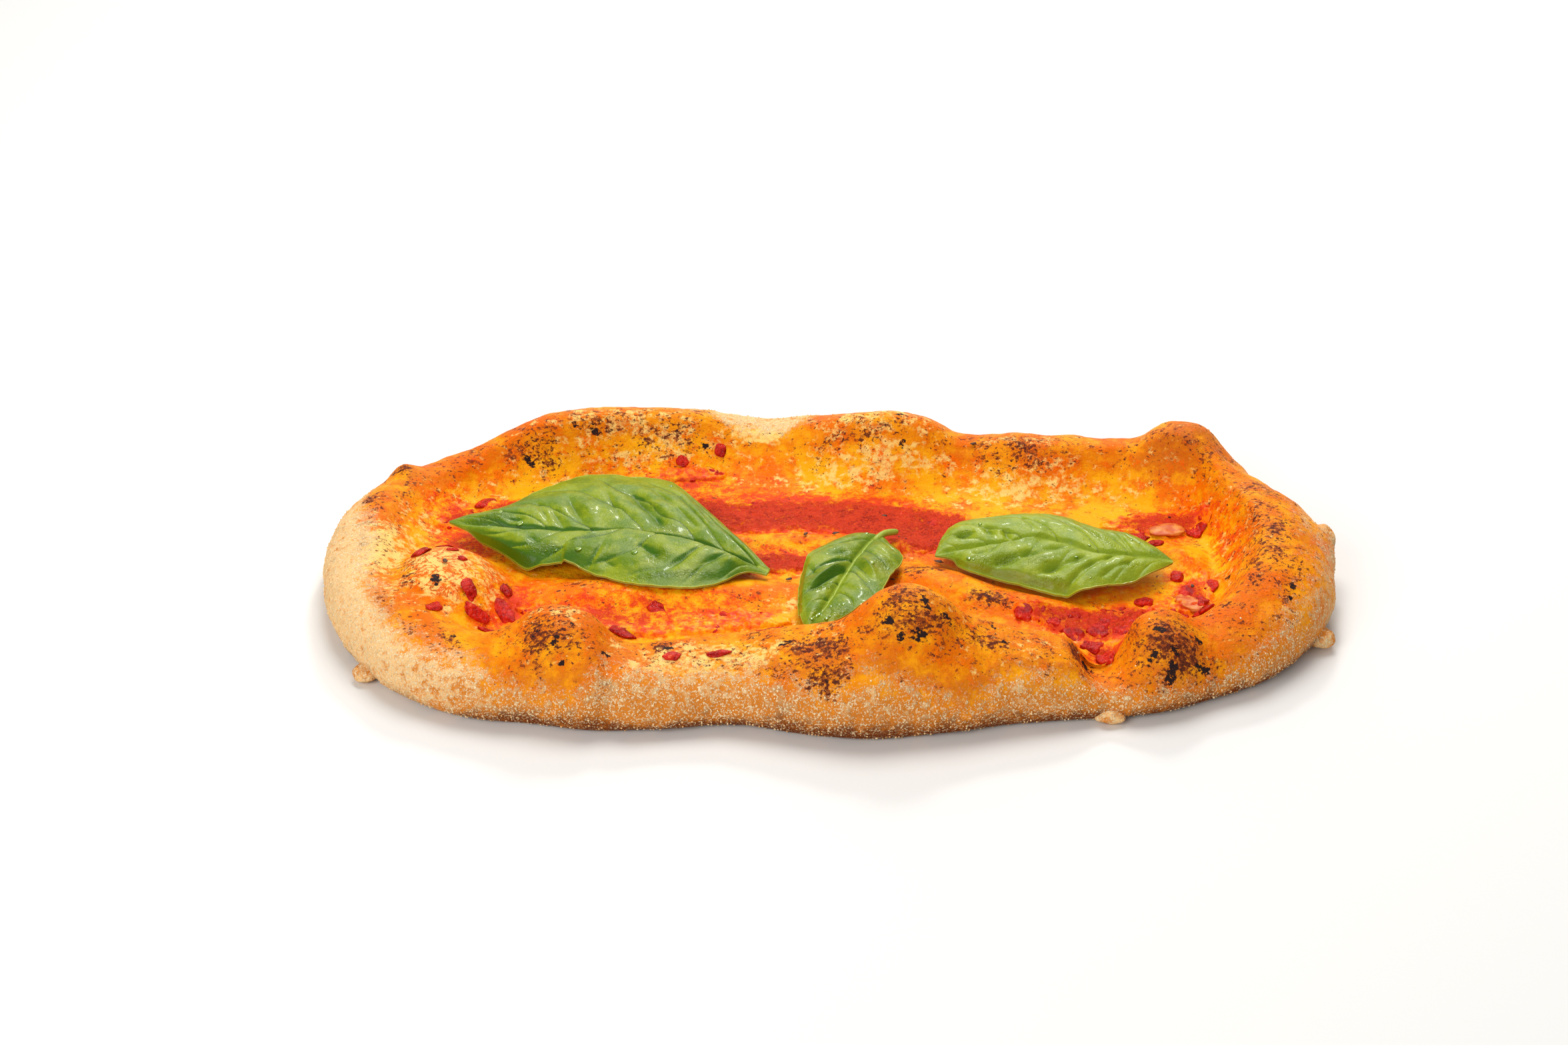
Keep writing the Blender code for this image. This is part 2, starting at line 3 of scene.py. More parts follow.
import bpy
import numpy as np
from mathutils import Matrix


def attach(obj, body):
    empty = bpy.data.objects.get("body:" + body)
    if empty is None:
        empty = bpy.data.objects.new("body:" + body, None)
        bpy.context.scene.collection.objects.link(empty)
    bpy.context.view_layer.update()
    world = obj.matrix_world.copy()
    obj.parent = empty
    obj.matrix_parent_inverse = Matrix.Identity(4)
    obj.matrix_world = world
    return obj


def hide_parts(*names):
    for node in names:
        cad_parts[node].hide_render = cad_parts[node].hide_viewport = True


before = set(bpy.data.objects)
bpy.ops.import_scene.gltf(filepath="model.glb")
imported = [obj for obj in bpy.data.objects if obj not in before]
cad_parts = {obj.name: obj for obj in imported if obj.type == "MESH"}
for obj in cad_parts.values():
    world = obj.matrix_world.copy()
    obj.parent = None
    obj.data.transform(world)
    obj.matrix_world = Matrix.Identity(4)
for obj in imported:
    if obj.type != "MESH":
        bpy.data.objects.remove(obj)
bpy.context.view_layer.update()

MM = 0.001
SMALLEST = 1e-9         # keeps a divisor above zero

# ---- the dough's form, as in the solid part ------------------------------------------------------
FLOOR_HEIGHT = 9.0      # baked dough under the sauce
FOOT_INSET = 5.5        # how far the resting edge lies inside the widest outline
BULGE_SHARE = 0.38      # height of the widest outline, as a share of the crest's height
CREST_FULLNESS = 0.93   # exponent of the outer side's upper curve: 1 is an ellipse, less is fuller
SLOPE_LEAN = 0.88       # exponent of the inner slope: 1 is even, less falls sooner
CENTRE_LINE_HALF = 95.0  # the floor and the underside close on a line this long each way from the middle
CENTRE_SHIFT = (-0.87, 2.49)  # moves the modelled outline so that the origin is under its middle
BULGE_ROW = 1.4         # the sleeve parameter of the widest outline
UPRIGHT_ROWS = (1.9, 2.4)  # between these rows a swelling's direction turns from the normal to straight up
FADE_HEIGHT = 9.0       # swellings grow from nothing at the foot to their full size over this height
STATION_STEPS = 40      # steps in which the outline is measured between two stations

# name, widest outline (x, y), crest (x, y, height), toe of the inner slope (x, y)
RIM_STATIONS = (
    ("right", 147, -6, 127, -6, 25, 112, -6),
    ("right_back_side", 144, 13, 124, 9, 25, 112, 7),
    ("right_back_corner", 135, 30, 120, 22, 24, 109, 15),
    ("lump_right", 126, 46, 116, 35, 25.5, 105, 24),
    ("lump", 112, 55, 107, 42, 25.5, 97, 27),
    ("lump_left", 95, 60, 94, 46, 21, 89, 30),
    ("back_right", 79, 61, 78, 47, 21, 76, 31),
    ("back_right_mid", 61, 62, 61, 48, 21.5, 60, 32),
    ("back_dip", 44, 66, 43, 52, 20, 42, 34),
    ("back_bump_right", 32, 70, 31, 55, 24.5, 30, 35),
    ("back_bump", 14, 72, 14, 57, 24.5, 14, 36),
    ("back_bump_left", -2, 74, -2, 60, 21.5, -2, 39),
    ("back_pale", -20, 77, -20, 64, 18.5, -21, 44),
    ("back_left_right", -39, 78, -39, 63, 21.5, -40, 48),
    ("back_left", -59, 77, -59, 62, 22.5, -60, 47),
    ("back_left_mid", -78, 73, -77, 58, 24, -79, 44),
    ("back_left_end", -96, 66, -94, 53, 22, -94, 40),
    ("tip_right", -112, 58, -109, 45, 17.5, -105, 34),
    ("tip", -129, 46, -122, 34, 17, -110, 25),
    ("left_back", -141, 31, -131, 23, 18.5, -114, 16),
    ("left_back_side", -147, 13, -133, 9, 19, -115, 6),
    ("left", -147, -7, -132, -7, 18.5, -113, -4),
    ("left_front_side", -143, -26, -129, -23, 18, -113, -17),
    ("left_front", -134, -45, -121, -35, 18, -107, -27),
    ("front_left_corner", -120, -61, -110, -47, 18, -96, -36),
    ("front_left", -101, -72, -97, -54, 18, -88, -41),
    ("front_left_bump", -81, -76, -79, -54, 23, -76, -38),
    ("front_bump_side", -64, -79, -64, -57, 22, -64, -40),
    ("front_low", -46, -78, -46, -58, 18, -46, -41),
    ("front_low_right", -26, -76, -26, -55, 18.5, -26, -40),
    ("front_mid", -6, -81, -6, -58, 23, -7, -40),
    ("front_peak", 13, -83, 13, -60, 26, 13, -38),
    ("front_peak_right", 34, -79.5, 34, -58, 25, 34, -38),
    ("front_right_mid", 50, -76, 50, -56, 21.5, 50, -40),
    ("front_right_low", 65, -74, 65, -56, 18.5, 64, -42),
    ("valley", 77, -72.5, 77, -56, 15, 76, -43),
    ("charred_bump", 91, -70, 90, -52, 18, 88, -38),
    ("charred_bump_right", 106, -64, 102, -47, 17, 99, -32),
    ("front_right_corner", 124, -54, 114, -38, 19, 106, -28),
    ("right_front", 139, -37, 122, -27, 23, 110, -21),
    ("right_front_side", 146, -22, 126, -17, 25, 111, -13),
)

# swellings and hollows: name, x, y, height, radii along and across, turn in degrees, power of the bell
SWELLINGS = (
    ("front_peak", 21, -59, 9.5, 13, 11, 0, 2.6),
    ("charred_bump", 92, -54, 5.0, 10, 12, 0, 2.5),
    ("front_left_bump", -73, -56, 4.0, 12, 12, 0, 2.5),
    ("valley", 75, -58, -7.0, 6, 12, 0, 2),
    ("crack", -60, -74, -1.5, 3, 12, 0, 2),
    ("front_dip", -55, -58, -3.0, 7, 12, 0, 2),
    ("tip", -128, 38, 4.0, 5, 5, 0, 2),
    ("back_mid_bump", 16, 50, 3.0, 16, 12, 0, 3),
    ("back_left_bump", -52, 58, 2.0, 26, 12, 0, 3),
    ("lump", 110, 46, 4.2, 11, 11, 0, 3.5),
    ("lump_notch", 124, 36, -2.5, 5, 8, 30, 2),
    ("knob", 147, 0, 2.5, 4, 8, 0, 2),
    ("floor_ridge", -4, 8, 2.0, 30, 4, -3, 2.5),
    ("pillow_left", -48, -20, 4.0, 42, 8, 1, 3),
    ("pillow_right", 34, -17, 5.0, 17, 8, -25, 2.5),
    ("pillow_right_low", 58, -27, 3.0, 12, 6, -10, 2),
    ("floor_bump", 104, -1, 3.5, 8, 6, 0, 2),
)
# the big blister's dome: x, y, height over the floor, radii, turn, and the power by which it falls away
BLISTER = (-111, -22, 12.3, 20, 22, -12, 2.6)
BLISTER_BLEND = 6.0     # it runs into the dough round it over this difference of height
# torn tabs on the outer side: x, y, height, radii
DOUGH_TABS = (
    (-129.5, -50.5, 2.4, 3.6, 3.6, 2.3), (76.5, -71, 2.4, 4.0, 3.0, 2.2), (139.5, -34, 4.0, 5.0, 4.0, 3.0),
    (145, 3, 13.0, 4.6, 5.5, 5.0),
)
TAB_POWDER = 0.6        # how pale the flour on them is

STEPS_ROUND = 860       # cells round the rim
# how many rows of cells the underside, the outer side, the inner slope and the floor get
ROWS_OF = (4, 38, 34, 38)

# relief of the dough: name, size of its features, height, how much of it the floor keeps
RELIEF = (
    ("lumps", 24, 0.9, 0.4),
    ("dimples", 9, 0.45, 0.7),
    ("pimples", 3.6, 0.22, 0.8),
    ("grain", 1.7, 0.09, 0.8),
)
RELIEF_FADE = 4.0       # the relief grows to its full height over this height from the foot
RELIEF_SEED = 3

# ---- marks of the bake ---------------------------------------------------------------------------
# toasted parts, and parts where specks of char gather: x, y, radii along and across, turn, strength. A few
# rows are painted shadow of the left leaf
TOASTED = (
    (-77, -62, 13, 9, 0, 0.65), (-81, -70, 9, 5, 0, 0.65), (-112, -49, 9, 7, 30, 0.55),
    (-47, -57, 7, 5, 0, 0.5), (-5, -68, 13, 9, 0, 0.8), (20, -62, 17, 10, 0, 0.7), (31, -75, 9, 4, 0, 0.6),
    (45, -62, 10, 6, 0, 0.45), (67, -58, 8, 6, 0, 0.6), (93, -60, 13, 10, 0, 1.0),
    (112, -52, 10, 8, -40, 0.6), (128, -10, 9, 24, 0, 0.55), (126, 18, 9, 12, 30, 0.6),
    (116, 4, 6, 13, 0, 0.42), (109, 43, 17, 10, 0, 0.95), (66, 50, 16, 6, 0, 0.45),
    (12, 58, 20, 9, 0, 0.22), (-58, 62, 28, 8, 0, 0.15), (-92, 50, 14, 8, 30, 0.3),
    (-127, 36, 9, 6, 40, 0.8), (-137, 20, 6, 9, -20, 0.6), (-127, -36, 17, 5.5, -63, 0.95),
    (-88, -69, 9, 4, 0, 0.6), (36, -76, 8, 4, 0, 0.7), (28, -9, 10, 6, 0, 0.6), (45, -24, 10, 4, -15, 0.6),
    # these two rows lie along the left leaf's front edge: painted shadow of the leaf on the dough
    (-72, -17, 7, 4, 0, 0.6), (-49, -24, 8, 4, 0, 0.5),
)
CHARRED = (
    (-77, -62, 10, 8, 0, 0.75), (-63, -73, 1.6, 6, 0, 1.1), (-46, -57, 6, 4, 0, 0.9),
    (-6, -66, 10, 7, 0, 0.82), (-2, -74, 7, 5, 0, 0.9), (20, -61, 14, 9, 0, 0.7), (42, -62, 8, 4, 0, 0.7),
    (68, -58, 6, 5, 0, 0.95), (93, -59, 11.5, 8.5, 0, 0.95), (128, -12, 9, 24, 0, 0.62),
    (120, -24, 6, 9, 0, 0.7), (128, 16, 8, 8, 0, 0.62), (60, 48, 15, 5, 0, 0.65), (14, 56, 18, 7, 0, 0.46),
    (-58, 60, 26, 7, 0, 0.52), (-90, 52, 12, 6, 20, 0.5), (-136, 21, 6, 5, 0, 0.75),
    (-129, 38, 4, 3, 0, 1.0), (28, -9, 9, 5, 0, 0.75), (46, -24, 8, 3, -15, 0.8), (-106, -51, 3, 3, 0, 0.7),
    # the last row here lies along the left leaf's front edge: painted shadow of the leaf on the dough
    (-112, -22, 14, 13, 0, 0.05), (-121, -24, 3, 10, 0, 0.6), (-70, -17, 5, 3, 0, 0.6),
)
# single burnt spots: x, y, radii, turn
BURNT = (
    (15, -65, 2.6, 1.6, 20), (23, -68, 3.4, 1.8, 10), (18, -68.5, 1.8, 1.2, 0), (25, -61, 2.2, 3.0, 20),
    (30, -62, 4.0, 1.3, -15), (-13, -61, 2.6, 1.4, 10), (44, -55, 1.8, 1.2, 0), (89, -56, 3.0, 2.2, -20),
    (93, -61, 2.2, 1.8, 0), (87, -62.5, 2.6, 1.8, 30), (92, -66, 2.6, 1.5, 10), (101, -55, 2.4, 1.5, -30),
    (93, -64, 2.0, 1.2, 0), (102, -61, 3.0, 1.4, 20), (97, -53, 2.0, 1.1, 0), (-75, -64, 2.2, 1.8, 40),
    (-71, -59, 2.0, 1.0, 20), (-80, -60, 1.8, 1.0, 0), (-73, -69, 1.6, 1.2, 0), (-105, -51, 1.6, 1.0, 0),
    (-62, -64, 2.4, 1.2, 20), (-45, -58, 2.6, 1.5, 30), (-92, 50, 2.4, 1.1, -10), (-72, 58, 2.0, 1.2, 0),
    (-78, 58, 1.8, 1.0, 0), (-38, 58, 1.8, 1.0, 20), (23, 50, 1.8, 1.0, 30), (23, 58, 2.2, 1.1, 30),
    (132, -4, 1.2, 1.6, 0), (130, -31, 1.4, 2.0, 0), (129, -35, 1.0, 1.4, 0), (115, -15, 1.2, 1.8, 0),
    (-112, -28.3, 2.0, 3.6, 5), (70, -56, 1.6, 2.6, 0), (47, -61, 2.0, 1.2, 0),
)
# soaked dough that stayed pale, where it is marbled
PALE = (
    (-111, -20, 17, 15, 0, 0.86), (-21, 64, 13, 6, 0, 0.9), (-124, 10, 6, 14, 0, 0.45),
    (14, 58, 20, 7, 0, 0.6), (-58, 60, 28, 8, 0, 0.6), (62, 52, 22, 6, 0, 0.3), (10, 47, 30, 6, 0, 0.6),
    (60, 40, 26, 7, 0, 0.55), (-70, 44, 20, 6, 0, 0.4), (120, 2, 6, 14, 0, 0.2), (-131, -6, 8, 16, 0, 1.0),
    (-8, -24, 9, 5, 0, 0.5), (34, -47, 14, 3, 0, 0.3), (58, -47, 12, 3, 0, 0.4), (-38, -63, 22, 8, 0, 0.8),
    (54, -62, 15, 5, 0, 0.36), (-8, -60, 14, 6, 0, 0.34), (-74, -55, 10, 5, 0, 0.5),
    (72, 38, 20, 4, 0, 0.4),
)
# where the marbled dough is crossed by a net of orange strands
NETTED = (
    (-111, -21, 16, 14, 0, 0.95), (-58, 60, 26, 7, 0, 0.4), (14, 56, 20, 7, 0, 0.4),
    (62, 48, 20, 6, 0, 0.4), (118, 0, 7, 14, 0, 0.35),
)
# orange and red stains of the sauce beside its patches
STAINED = (
    (-95, 22, 20, 9, 10, 0.7), (-40, 40, 36, 8, -3, 0.65), (-44, 46, 18, 7, 0, 0.85),
    (-5, 34, 44, 7, -4, 1.0), (-56, -30, 36, 10, 0, 0.86), (-42, -23, 22, 6, 0, 0.55),
    (75, -36, 15, 12, 0, 0.7), (104, -18, 8, 16, 0, 0.8), (95, 18, 18, 8, 0, 0.7), (76, -51, 6, 11, 0, 1.2),
    (0, 24, 48, 12, 0, 0.45), (40, 12, 20, 14, 0, 0.5), (-16, 0, 28, 7.5, 0, 1.35),
    (-90, -24, 7, 12, 0, 0.85), (-108, 12, 13, 13, 0, 0.9), (117, 6, 7, 18, 0, 0.52),
    (-113, 28, 12, 8, 10, 0.8), (-108, -20, 15, 15, 0, 0.5), (-95, -34, 8, 5, 0, 0.7),
    (-84, -28, 14, 5, 0, 0.65),
)
# where the floured outer side ends, as a share of the way round from the right-hand end and a sleeve row
FLOUR_LINE = (
    (0.02, 1.6), (0.06, 1.55), (0.10, 1.5), (0.15, 1.6), (0.20, 1.7), (0.25, 1.8), (0.265, 2.15),
    (0.285, 2.2), (0.30, 1.85), (0.35, 1.65), (0.40, 1.7), (0.44, 1.6), (0.46, 1.75), (0.48, 1.9),
    (0.50, 2.05), (0.52, 2.0), (0.56, 1.85), (0.59, 1.78), (0.62, 1.79), (0.635, 1.53), (0.655, 1.48),
    (0.665, 1.56), (0.672, 1.75), (0.70, 1.77), (0.72, 1.71), (0.745, 1.61), (0.756, 1.55), (0.77, 1.65),
    (0.787, 1.55), (0.80, 1.44), (0.812, 1.5), (0.82, 1.63), (0.85, 1.62), (0.866, 1.53), (0.88, 1.47),
    (0.90, 1.47), (0.916, 1.55), (0.926, 1.6), (0.96, 1.54),
)

# stretches round the rim, as shares of the way round: start, its rise, end, its fall
FRONT_STRETCH = (0.56, 0.1, 0.93, 0.06)
LEFT_STRETCH = (0.42, 0.06, 0.56, 0.06)
RIGHT_STRETCH = (0.9, 0.04, 0.05, 0.06)
# belts along the rim, as strength, row and width. The browned one's row is counted from the flour's end, and
# its brown is both browning and painted shade low on the front bumps
BROWNED_AND_SHADED_BELT = (0.75, 0.1, 0.1)
CREST_SPECKS = (0.28, 2.0, 0.35)
CREST_CLEARANCE = 0.1   # its specks come in over this many rows, just below the flour's end
PALE_SLOPE = (0.2, 2.65, 0.35)
# the row from which a mark comes in, and over how many rows
BAKED_ROWS = (1.3, 0.15)
SOAKED_ROWS = (2.15, 0.5)
STAINED_ROWS = (2.05, 0.3)
# the row at which a mark has ended, and over how many rows
SCORCHED_ROWS = (1.5, 0.36)
DULL_FLOUR_ROWS = (1.7, 0.3)
FLOUR_FADE = (2.2, 1.2)  # how fast the flour ends across the rows, and how much slower at the right
FLOUR_PALENESS = (0.85, 0.15, 0.5, 0.25)  # all round, more on the left, less in front, less low in front
BARE_FLOUR = (0.4, 0.35)  # the flour hides the char from this strength on, over this much more
CHAR_UNDER_FLOUR = 0.7  # and takes this much from it

# ---- toppings ------------------------------------------------------------------------------------
# name, then stations along the patch: x, y, half-width to the front, half-width to the back
SAUCE_PATCHES = (
    ("tomato_sauce_back",
     (-66, 30, 1, 1), (-50, 28, 8, 8), (-30, 25, 11, 9), (-8, 23, 11, 11), (14, 21, 10, 12),
     (30, 15, 16, 14), (43, 12, 9, 10), (54, 13, 1, 1)),
    ("tomato_sauce_middle",
     (-52, -2, 1, 1), (-38, -2, 5, 5), (-22, -3, 6, 6), (-6, -2, 5, 4), (6, -2, 1, 1)),
    ("tomato_sauce_left",
     (-118, 18, 1, 1), (-109, 22, 7, 7), (-98, 25, 8, 9), (-86, 27, 7, 7), (-76, 28, 1, 1)),
    ("tomato_sauce_back_foot",
     (-68, 45, 1, 1), (-54, 46, 3.5, 3), (-40, 47, 3.5, 4), (-29, 48, 1, 1)),
    ("tomato_sauce_front",
     (-90, -27, 1, 2), (-78, -31, 5, 4), (-58, -35, 6, 6), (-38, -35, 6, 6), (-22, -34, 5, 5),
     (-10, -35, 1, 1)),
    ("tomato_sauce_right",
     (52, -30, 1, 1), (62, -32, 6, 4), (74, -36, 15, 7), (84, -34, 8, 8), (94, -28, 1, 2)),
    ("tomato_sauce_right_end",
     (97, -29, 1, 1), (102, -26, 5, 5), (107, -19, 6, 6), (110, -8, 1, 1)),
    ("tomato_sauce_right_back",
     (82, 18, 1, 1), (92, 19, 7, 6), (101, 19, 9, 7), (109, 18, 6, 6), (115, 15, 1, 1)),
)
SAUCE_LIFT = 0.7        # thickness of the sauce in the middle of a patch
SAUCE_SINK = 0.9        # how far its edges dip below the dough
CRUMB_HEIGHT = 0.75     # of the crumbs of pulp that stand out of it
SAUCE_BODY = 1.6        # depth of the closed body under the sauce's surface
SAUCE_CELL = 0.45       # size of a cell of its grid
SAUCE_REACH = 1.3       # the grid ends this many half-widths from the patch's middle line
SAUCE_HEM = 0.2         # and the sauce thins to nothing within this much of the grid's sides
SAUCE_EDGE = (0.62, 0.5)  # where its edge starts, in half-widths, and how wide the edge is
SAUCE_TAPER = 0.6       # its ends are rounded over this share of the space between two stations
# layers of noise, each as size, height and seed: how ragged its edge is in half-widths, its grit, its crumbs
SAUCE_RAGGED = ((11, 0.24, 21), (4, 0.2, 22), (1.6, 0.16, 23))
SAUCE_GRIT = ((1.3, 0.18, 25), (3.6, 0.26, 26))
SAUCE_CRUMBS = ((2.3, 1.0, 27), (1.1, 0.4, 28))
CRUMB_EDGE = (-0.1, 0.4)  # where in that noise a crumb starts, and how soon it is at its full height
CRUMB_DENSITY = 0.2     # bits of pulp per square millimetre that give crumbs of the full height
LEAST_RELIEF = 0.3      # grit, crumbs and the ends of folds keep this share of their full height
# how red each patch is, and how thickly bits of pulp lie on it, per square millimetre
SAUCE_STRENGTH = {
    "tomato_sauce_back": (1.15, 0.04), "tomato_sauce_middle": (1.15, 0.04),
    "tomato_sauce_left": (0.95, 0.12), "tomato_sauce_back_foot": (0.72, 0.05),
    "tomato_sauce_front": (0.56, 0.03), "tomato_sauce_right": (1.0, 0.14),
    "tomato_sauce_right_end": (1.0, 0.14), "tomato_sauce_right_back": (0.88, 0.1),
}
# how the dough is stained round it: reach of the stain, and its strength
SAUCE_HALO = ((2.8, 1.25), (6.5, 0.88), (12.0, 0.58))

# chunks of tomato: x, y, radii along and across, turn, height
CHUNKS = (
    (-118, -12, 3.4, 2.6, 30, 1.4), (-102.5, -28.5, 2.4, 3.4, 15, 1.2), (-100, -34, 4.0, 2.2, 5, 1.3),
    (-92.5, -29, 2.8, 4.6, 20, 2.0), (-111.5, -36.5, 2.8, 2.0, 20, 0.9), (-104, 34, 4.0, 3.4, 20, 1.6),
    (-105.5, -17, 1.6, 1.2, 0, 0.8), (-109, -11, 2.2, 1.2, 10, 0.9), (-97, -38, 3.0, 1.4, 10, 0.9),
    (-45, 54, 2.2, 1.7, 0, 1.2), (-36, 51, 3.6, 1.8, -10, 1.2), (-33, 57, 2.1, 1.7, 0, 1.1),
    (-60, -37, 6.0, 2.0, -32, 1.4), (-16, -37, 5.0, 1.7, 10, 1.2), (-112, -3, 3.4, 1.8, 10, 1.0),
    (-93, -20, 1.8, 3.0, 0, 1.2), (55, -30, 3.2, 3.0, 0, 2.0), (64, -34, 4.0, 2.6, -30, 2.0),
    (68, -38, 4.4, 3.0, -20, 2.2), (75, -36, 4.6, 3.4, 10, 2.4), (81, -38, 4.2, 3.2, 30, 2.2),
    (73, -43, 4.4, 3.0, 0, 2.2), (79, -32, 3.6, 2.6, 20, 1.8), (86, -33, 3.0, 2.0, 0, 1.5),
    (76, -50, 2.6, 4.6, 10, 1.5), (69, -30, 3.4, 2.2, 0, 1.6), (90, -22, 3.2, 2.2, 10, 1.8),
    (103, -17, 3.0, 3.6, 0, 2.2), (106, -23, 3.2, 3.4, 20, 2.4), (110, -14, 2.6, 3.6, 0, 2.0),
    (99, -30, 3.4, 2.2, -20, 2.0), (106, -29, 3.6, 2.2, 20, 2.2), (101, -9, 2.2, 2.8, 0, 1.5),
    (110, 16, 3.0, 3.0, 0, 1.6), (92, 14, 4.0, 2.4, 0, 1.4), (97, 10, 3.2, 2.2, 10, 1.4),
    (-60, 20, 4.0, 2.6, 0, 1.2), (-88, 26, 3.4, 2.2, 0, 1.2), (32, 22, 3.2, 2.2, 20, 1.2),
    (-44, -62, 3.0, 1.8, 20, 1.0), (-31, -61, 4.2, 1.4, 5, 0.9), (-50, -27, 3.0, 2.6, 0, 0.9),
)
CHUNK_SHARES = (0.85, 0.85, 0.62)  # how much of those radii and of that height the lump gets
CHUNK_LIFT = 0.25       # how far its middle lies over the dough
# radii of random lumps: least random share, its power, spread and smallest radius
PULP_SIZES = (0.3, 2, 1.1, 0.25)
DROP_SIZES = (0.2, 3, 0.9, 0.22)
# how long such a lump is, and how flat, as shares of that radius
PULP_STRETCH = (0.9, 1.8)
PULP_FLATNESS = (0.3, 0.6)
DROP_STRETCH = (1.0, 1.7)
DROP_FLATNESS = 0.3
PULP_SINK = (0.25, 0.2)  # how far a bit of pulp sinks in: millimetres, and a share of its radius
PULP_END = 0.3          # the bits keep this share of a station's space from both ends of a patch
PULP_SIDE = 0.75        # share of the half-width that the bits lie in
LUMP_NOISE = 0.9        # size of the noise that roughens a lump, in radii
LUMP_SPREAD = 7.3       # how far apart in that noise two lumps lie
# leaves of dried herb: x, y, length, turn
HERB_FLAKES = (
    (-94, 26, 3.4, 50), (-93, 20, 2.6, 80), (-110, -20, 3.0, -70), (-7, 12, 2.2, 60), (2, 13, 2.6, 20),
    (17, 26, 2.4, 0), (22, 11, 3.0, -30), (32, -1, 3.2, -20), (-12, -12, 2.6, 30), (94, 8, 2.4, 0),
    (105, -14, 2.8, 70), (108, -28, 2.6, 20), (86, -42, 2.2, 0), (12, 30, 1.8, 40), (-38, 20, 2.0, 10),
    (40, 14, 2.2, 60), (60, 25, 1.8, 10), (-62, 24, 2.0, 40), (45, 52, 2.6, 35), (18, -13, 2.0, 0),
)
HERB_SLIMNESS = (2.4, 4.2)  # a leaf's length over its radii along and across
HERB_HALF_THICKNESS = 0.2
# garlic slices: node, x, y, radii along and across, turn, height
GARLIC_SLICES = (
    ("garlic_slice_back", 102, 14, 5.4, 3.3, 5, 1.3),
    ("garlic_slice_front", 103.5, -25.5, 4.8, 2.7, -50, 1.2),
)
GARLIC_SQUARENESS = (0.85, 0.85, 0.5)  # powers that flatten a ball into a slice with a rounded edge
GARLIC_SHARE = 0.4      # how much of its height the slice gets
GARLIC_LIFT = (0.3, 0.55)  # how far it is lifted: a share of its height, and millimetres
GRAIN_TRIES = 30000     # spots that are tried for a grain of semolina
GRAIN_ROWS = (1.02, 2.1)  # sleeve rows that they lie on
GRAIN_FLOUR = (0.35, 0.3)  # flour from which they are likely, and over how much more of it
GRAIN_CHANCE = (0.16, 0.003)  # a spot's chance on full flour, and anywhere
GRAIN_SIZES = (0.16, 0.34)
GRAIN_STRETCH = (0.7, 1.3)

# basil leaves: node, stations from stem to tip with the midrib's point and one point on either edge, back or
# right first, as x, y and height
BASIL_LEAVES = (
    ("basil_leaf_left",
     (-17, -14.5, 12.5, -16.5, -13, 12.5, -17.5, -16, 12.5),
     (-23.5, -10.5, 13.5, -25.5, 3, 13.5, -23, -16, 13),
     (-30.5, -6, 14.5, -39, 24.5, 13.5, -31, -21, 12.5),
     (-38.5, -1, 15, -48.5, 37.5, 13.5, -41.5, -24, 13),
     (-51, 2, 15.5, -62, 39, 14, -55, -22.5, 13),
     (-63, 4, 15.5, -75.5, 37.5, 14.5, -65.5, -17.5, 13),
     (-74.5, 4.5, 15.5, -86.5, 30, 14.5, -76, -11, 13),
     (-86.5, 5.5, 15.5, -93.5, 21.5, 14.5, -86.5, -10, 13),
     (-97.5, 7.5, 15, -101.5, 17.5, 14.5, -94.5, -3, 13.5),
     (-105.5, 9.5, 14.5, -107, 14.5, 14.5, -104, 5, 14),
     (-112, 11, 14.5, -112, 11.4, 14.5, -112, 10.6, 14.5)),
    ("basil_leaf_centre",
     (16.5, 5, 13, 17, 4.6, 13, 16, 5.4, 13),
     (13.5, 1.5, 14, 19, -1.5, 14, 8, 5.5, 13.5),
     (9, -9.5, 15.5, 22, -9.5, 14.5, -3, -4, 14.5),
     (5, -20.5, 16, 18.5, -20, 15.5, -7.5, -15, 14.5),
     (1.5, -31, 16, 14.5, -32, 17, -8.5, -28, 15),
     (-1, -37, 15.5, 8.5, -39.5, 17, -8.5, -35.5, 14.5),
     (-3.5, -42.5, 15, 1.5, -44.5, 15.5, -7.5, -42, 14),
     (-5.5, -46, 14, -5.1, -46, 14, -5.9, -46, 14)),
    ("basil_leaf_right",
     (100.5, -11, 14, 100.5, -10.4, 14, 100.2, -11.6, 14),
     (94, -10.5, 15, 95, -3.5, 15.5, 95, -16.5, 14.5),
     (86, -9.5, 15.5, 88.5, 2, 15.5, 88, -21, 14),
     (77.5, -8.5, 16, 80, 6.5, 15.5, 80, -23, 13.5),
     (69.5, -4, 16.5, 69.5, 12, 15.5, 70.5, -25.5, 13.5),
     (60.5, -1.5, 16.5, 58, 14.5, 15.5, 61, -23.5, 13.5),
     (51.5, -3.5, 16, 47, 11, 15.5, 50, -18, 14),
     (43, -5, 15.5, 38, 9, 15, 41, -15.5, 14.5),
     (36.5, -6.5, 15, 34, 1.5, 14.5, 36, -10, 14.5),
     (31.5, -8, 14.5, 31.5, -7.6, 14.5, 31.5, -8.4, 14.5)),
)
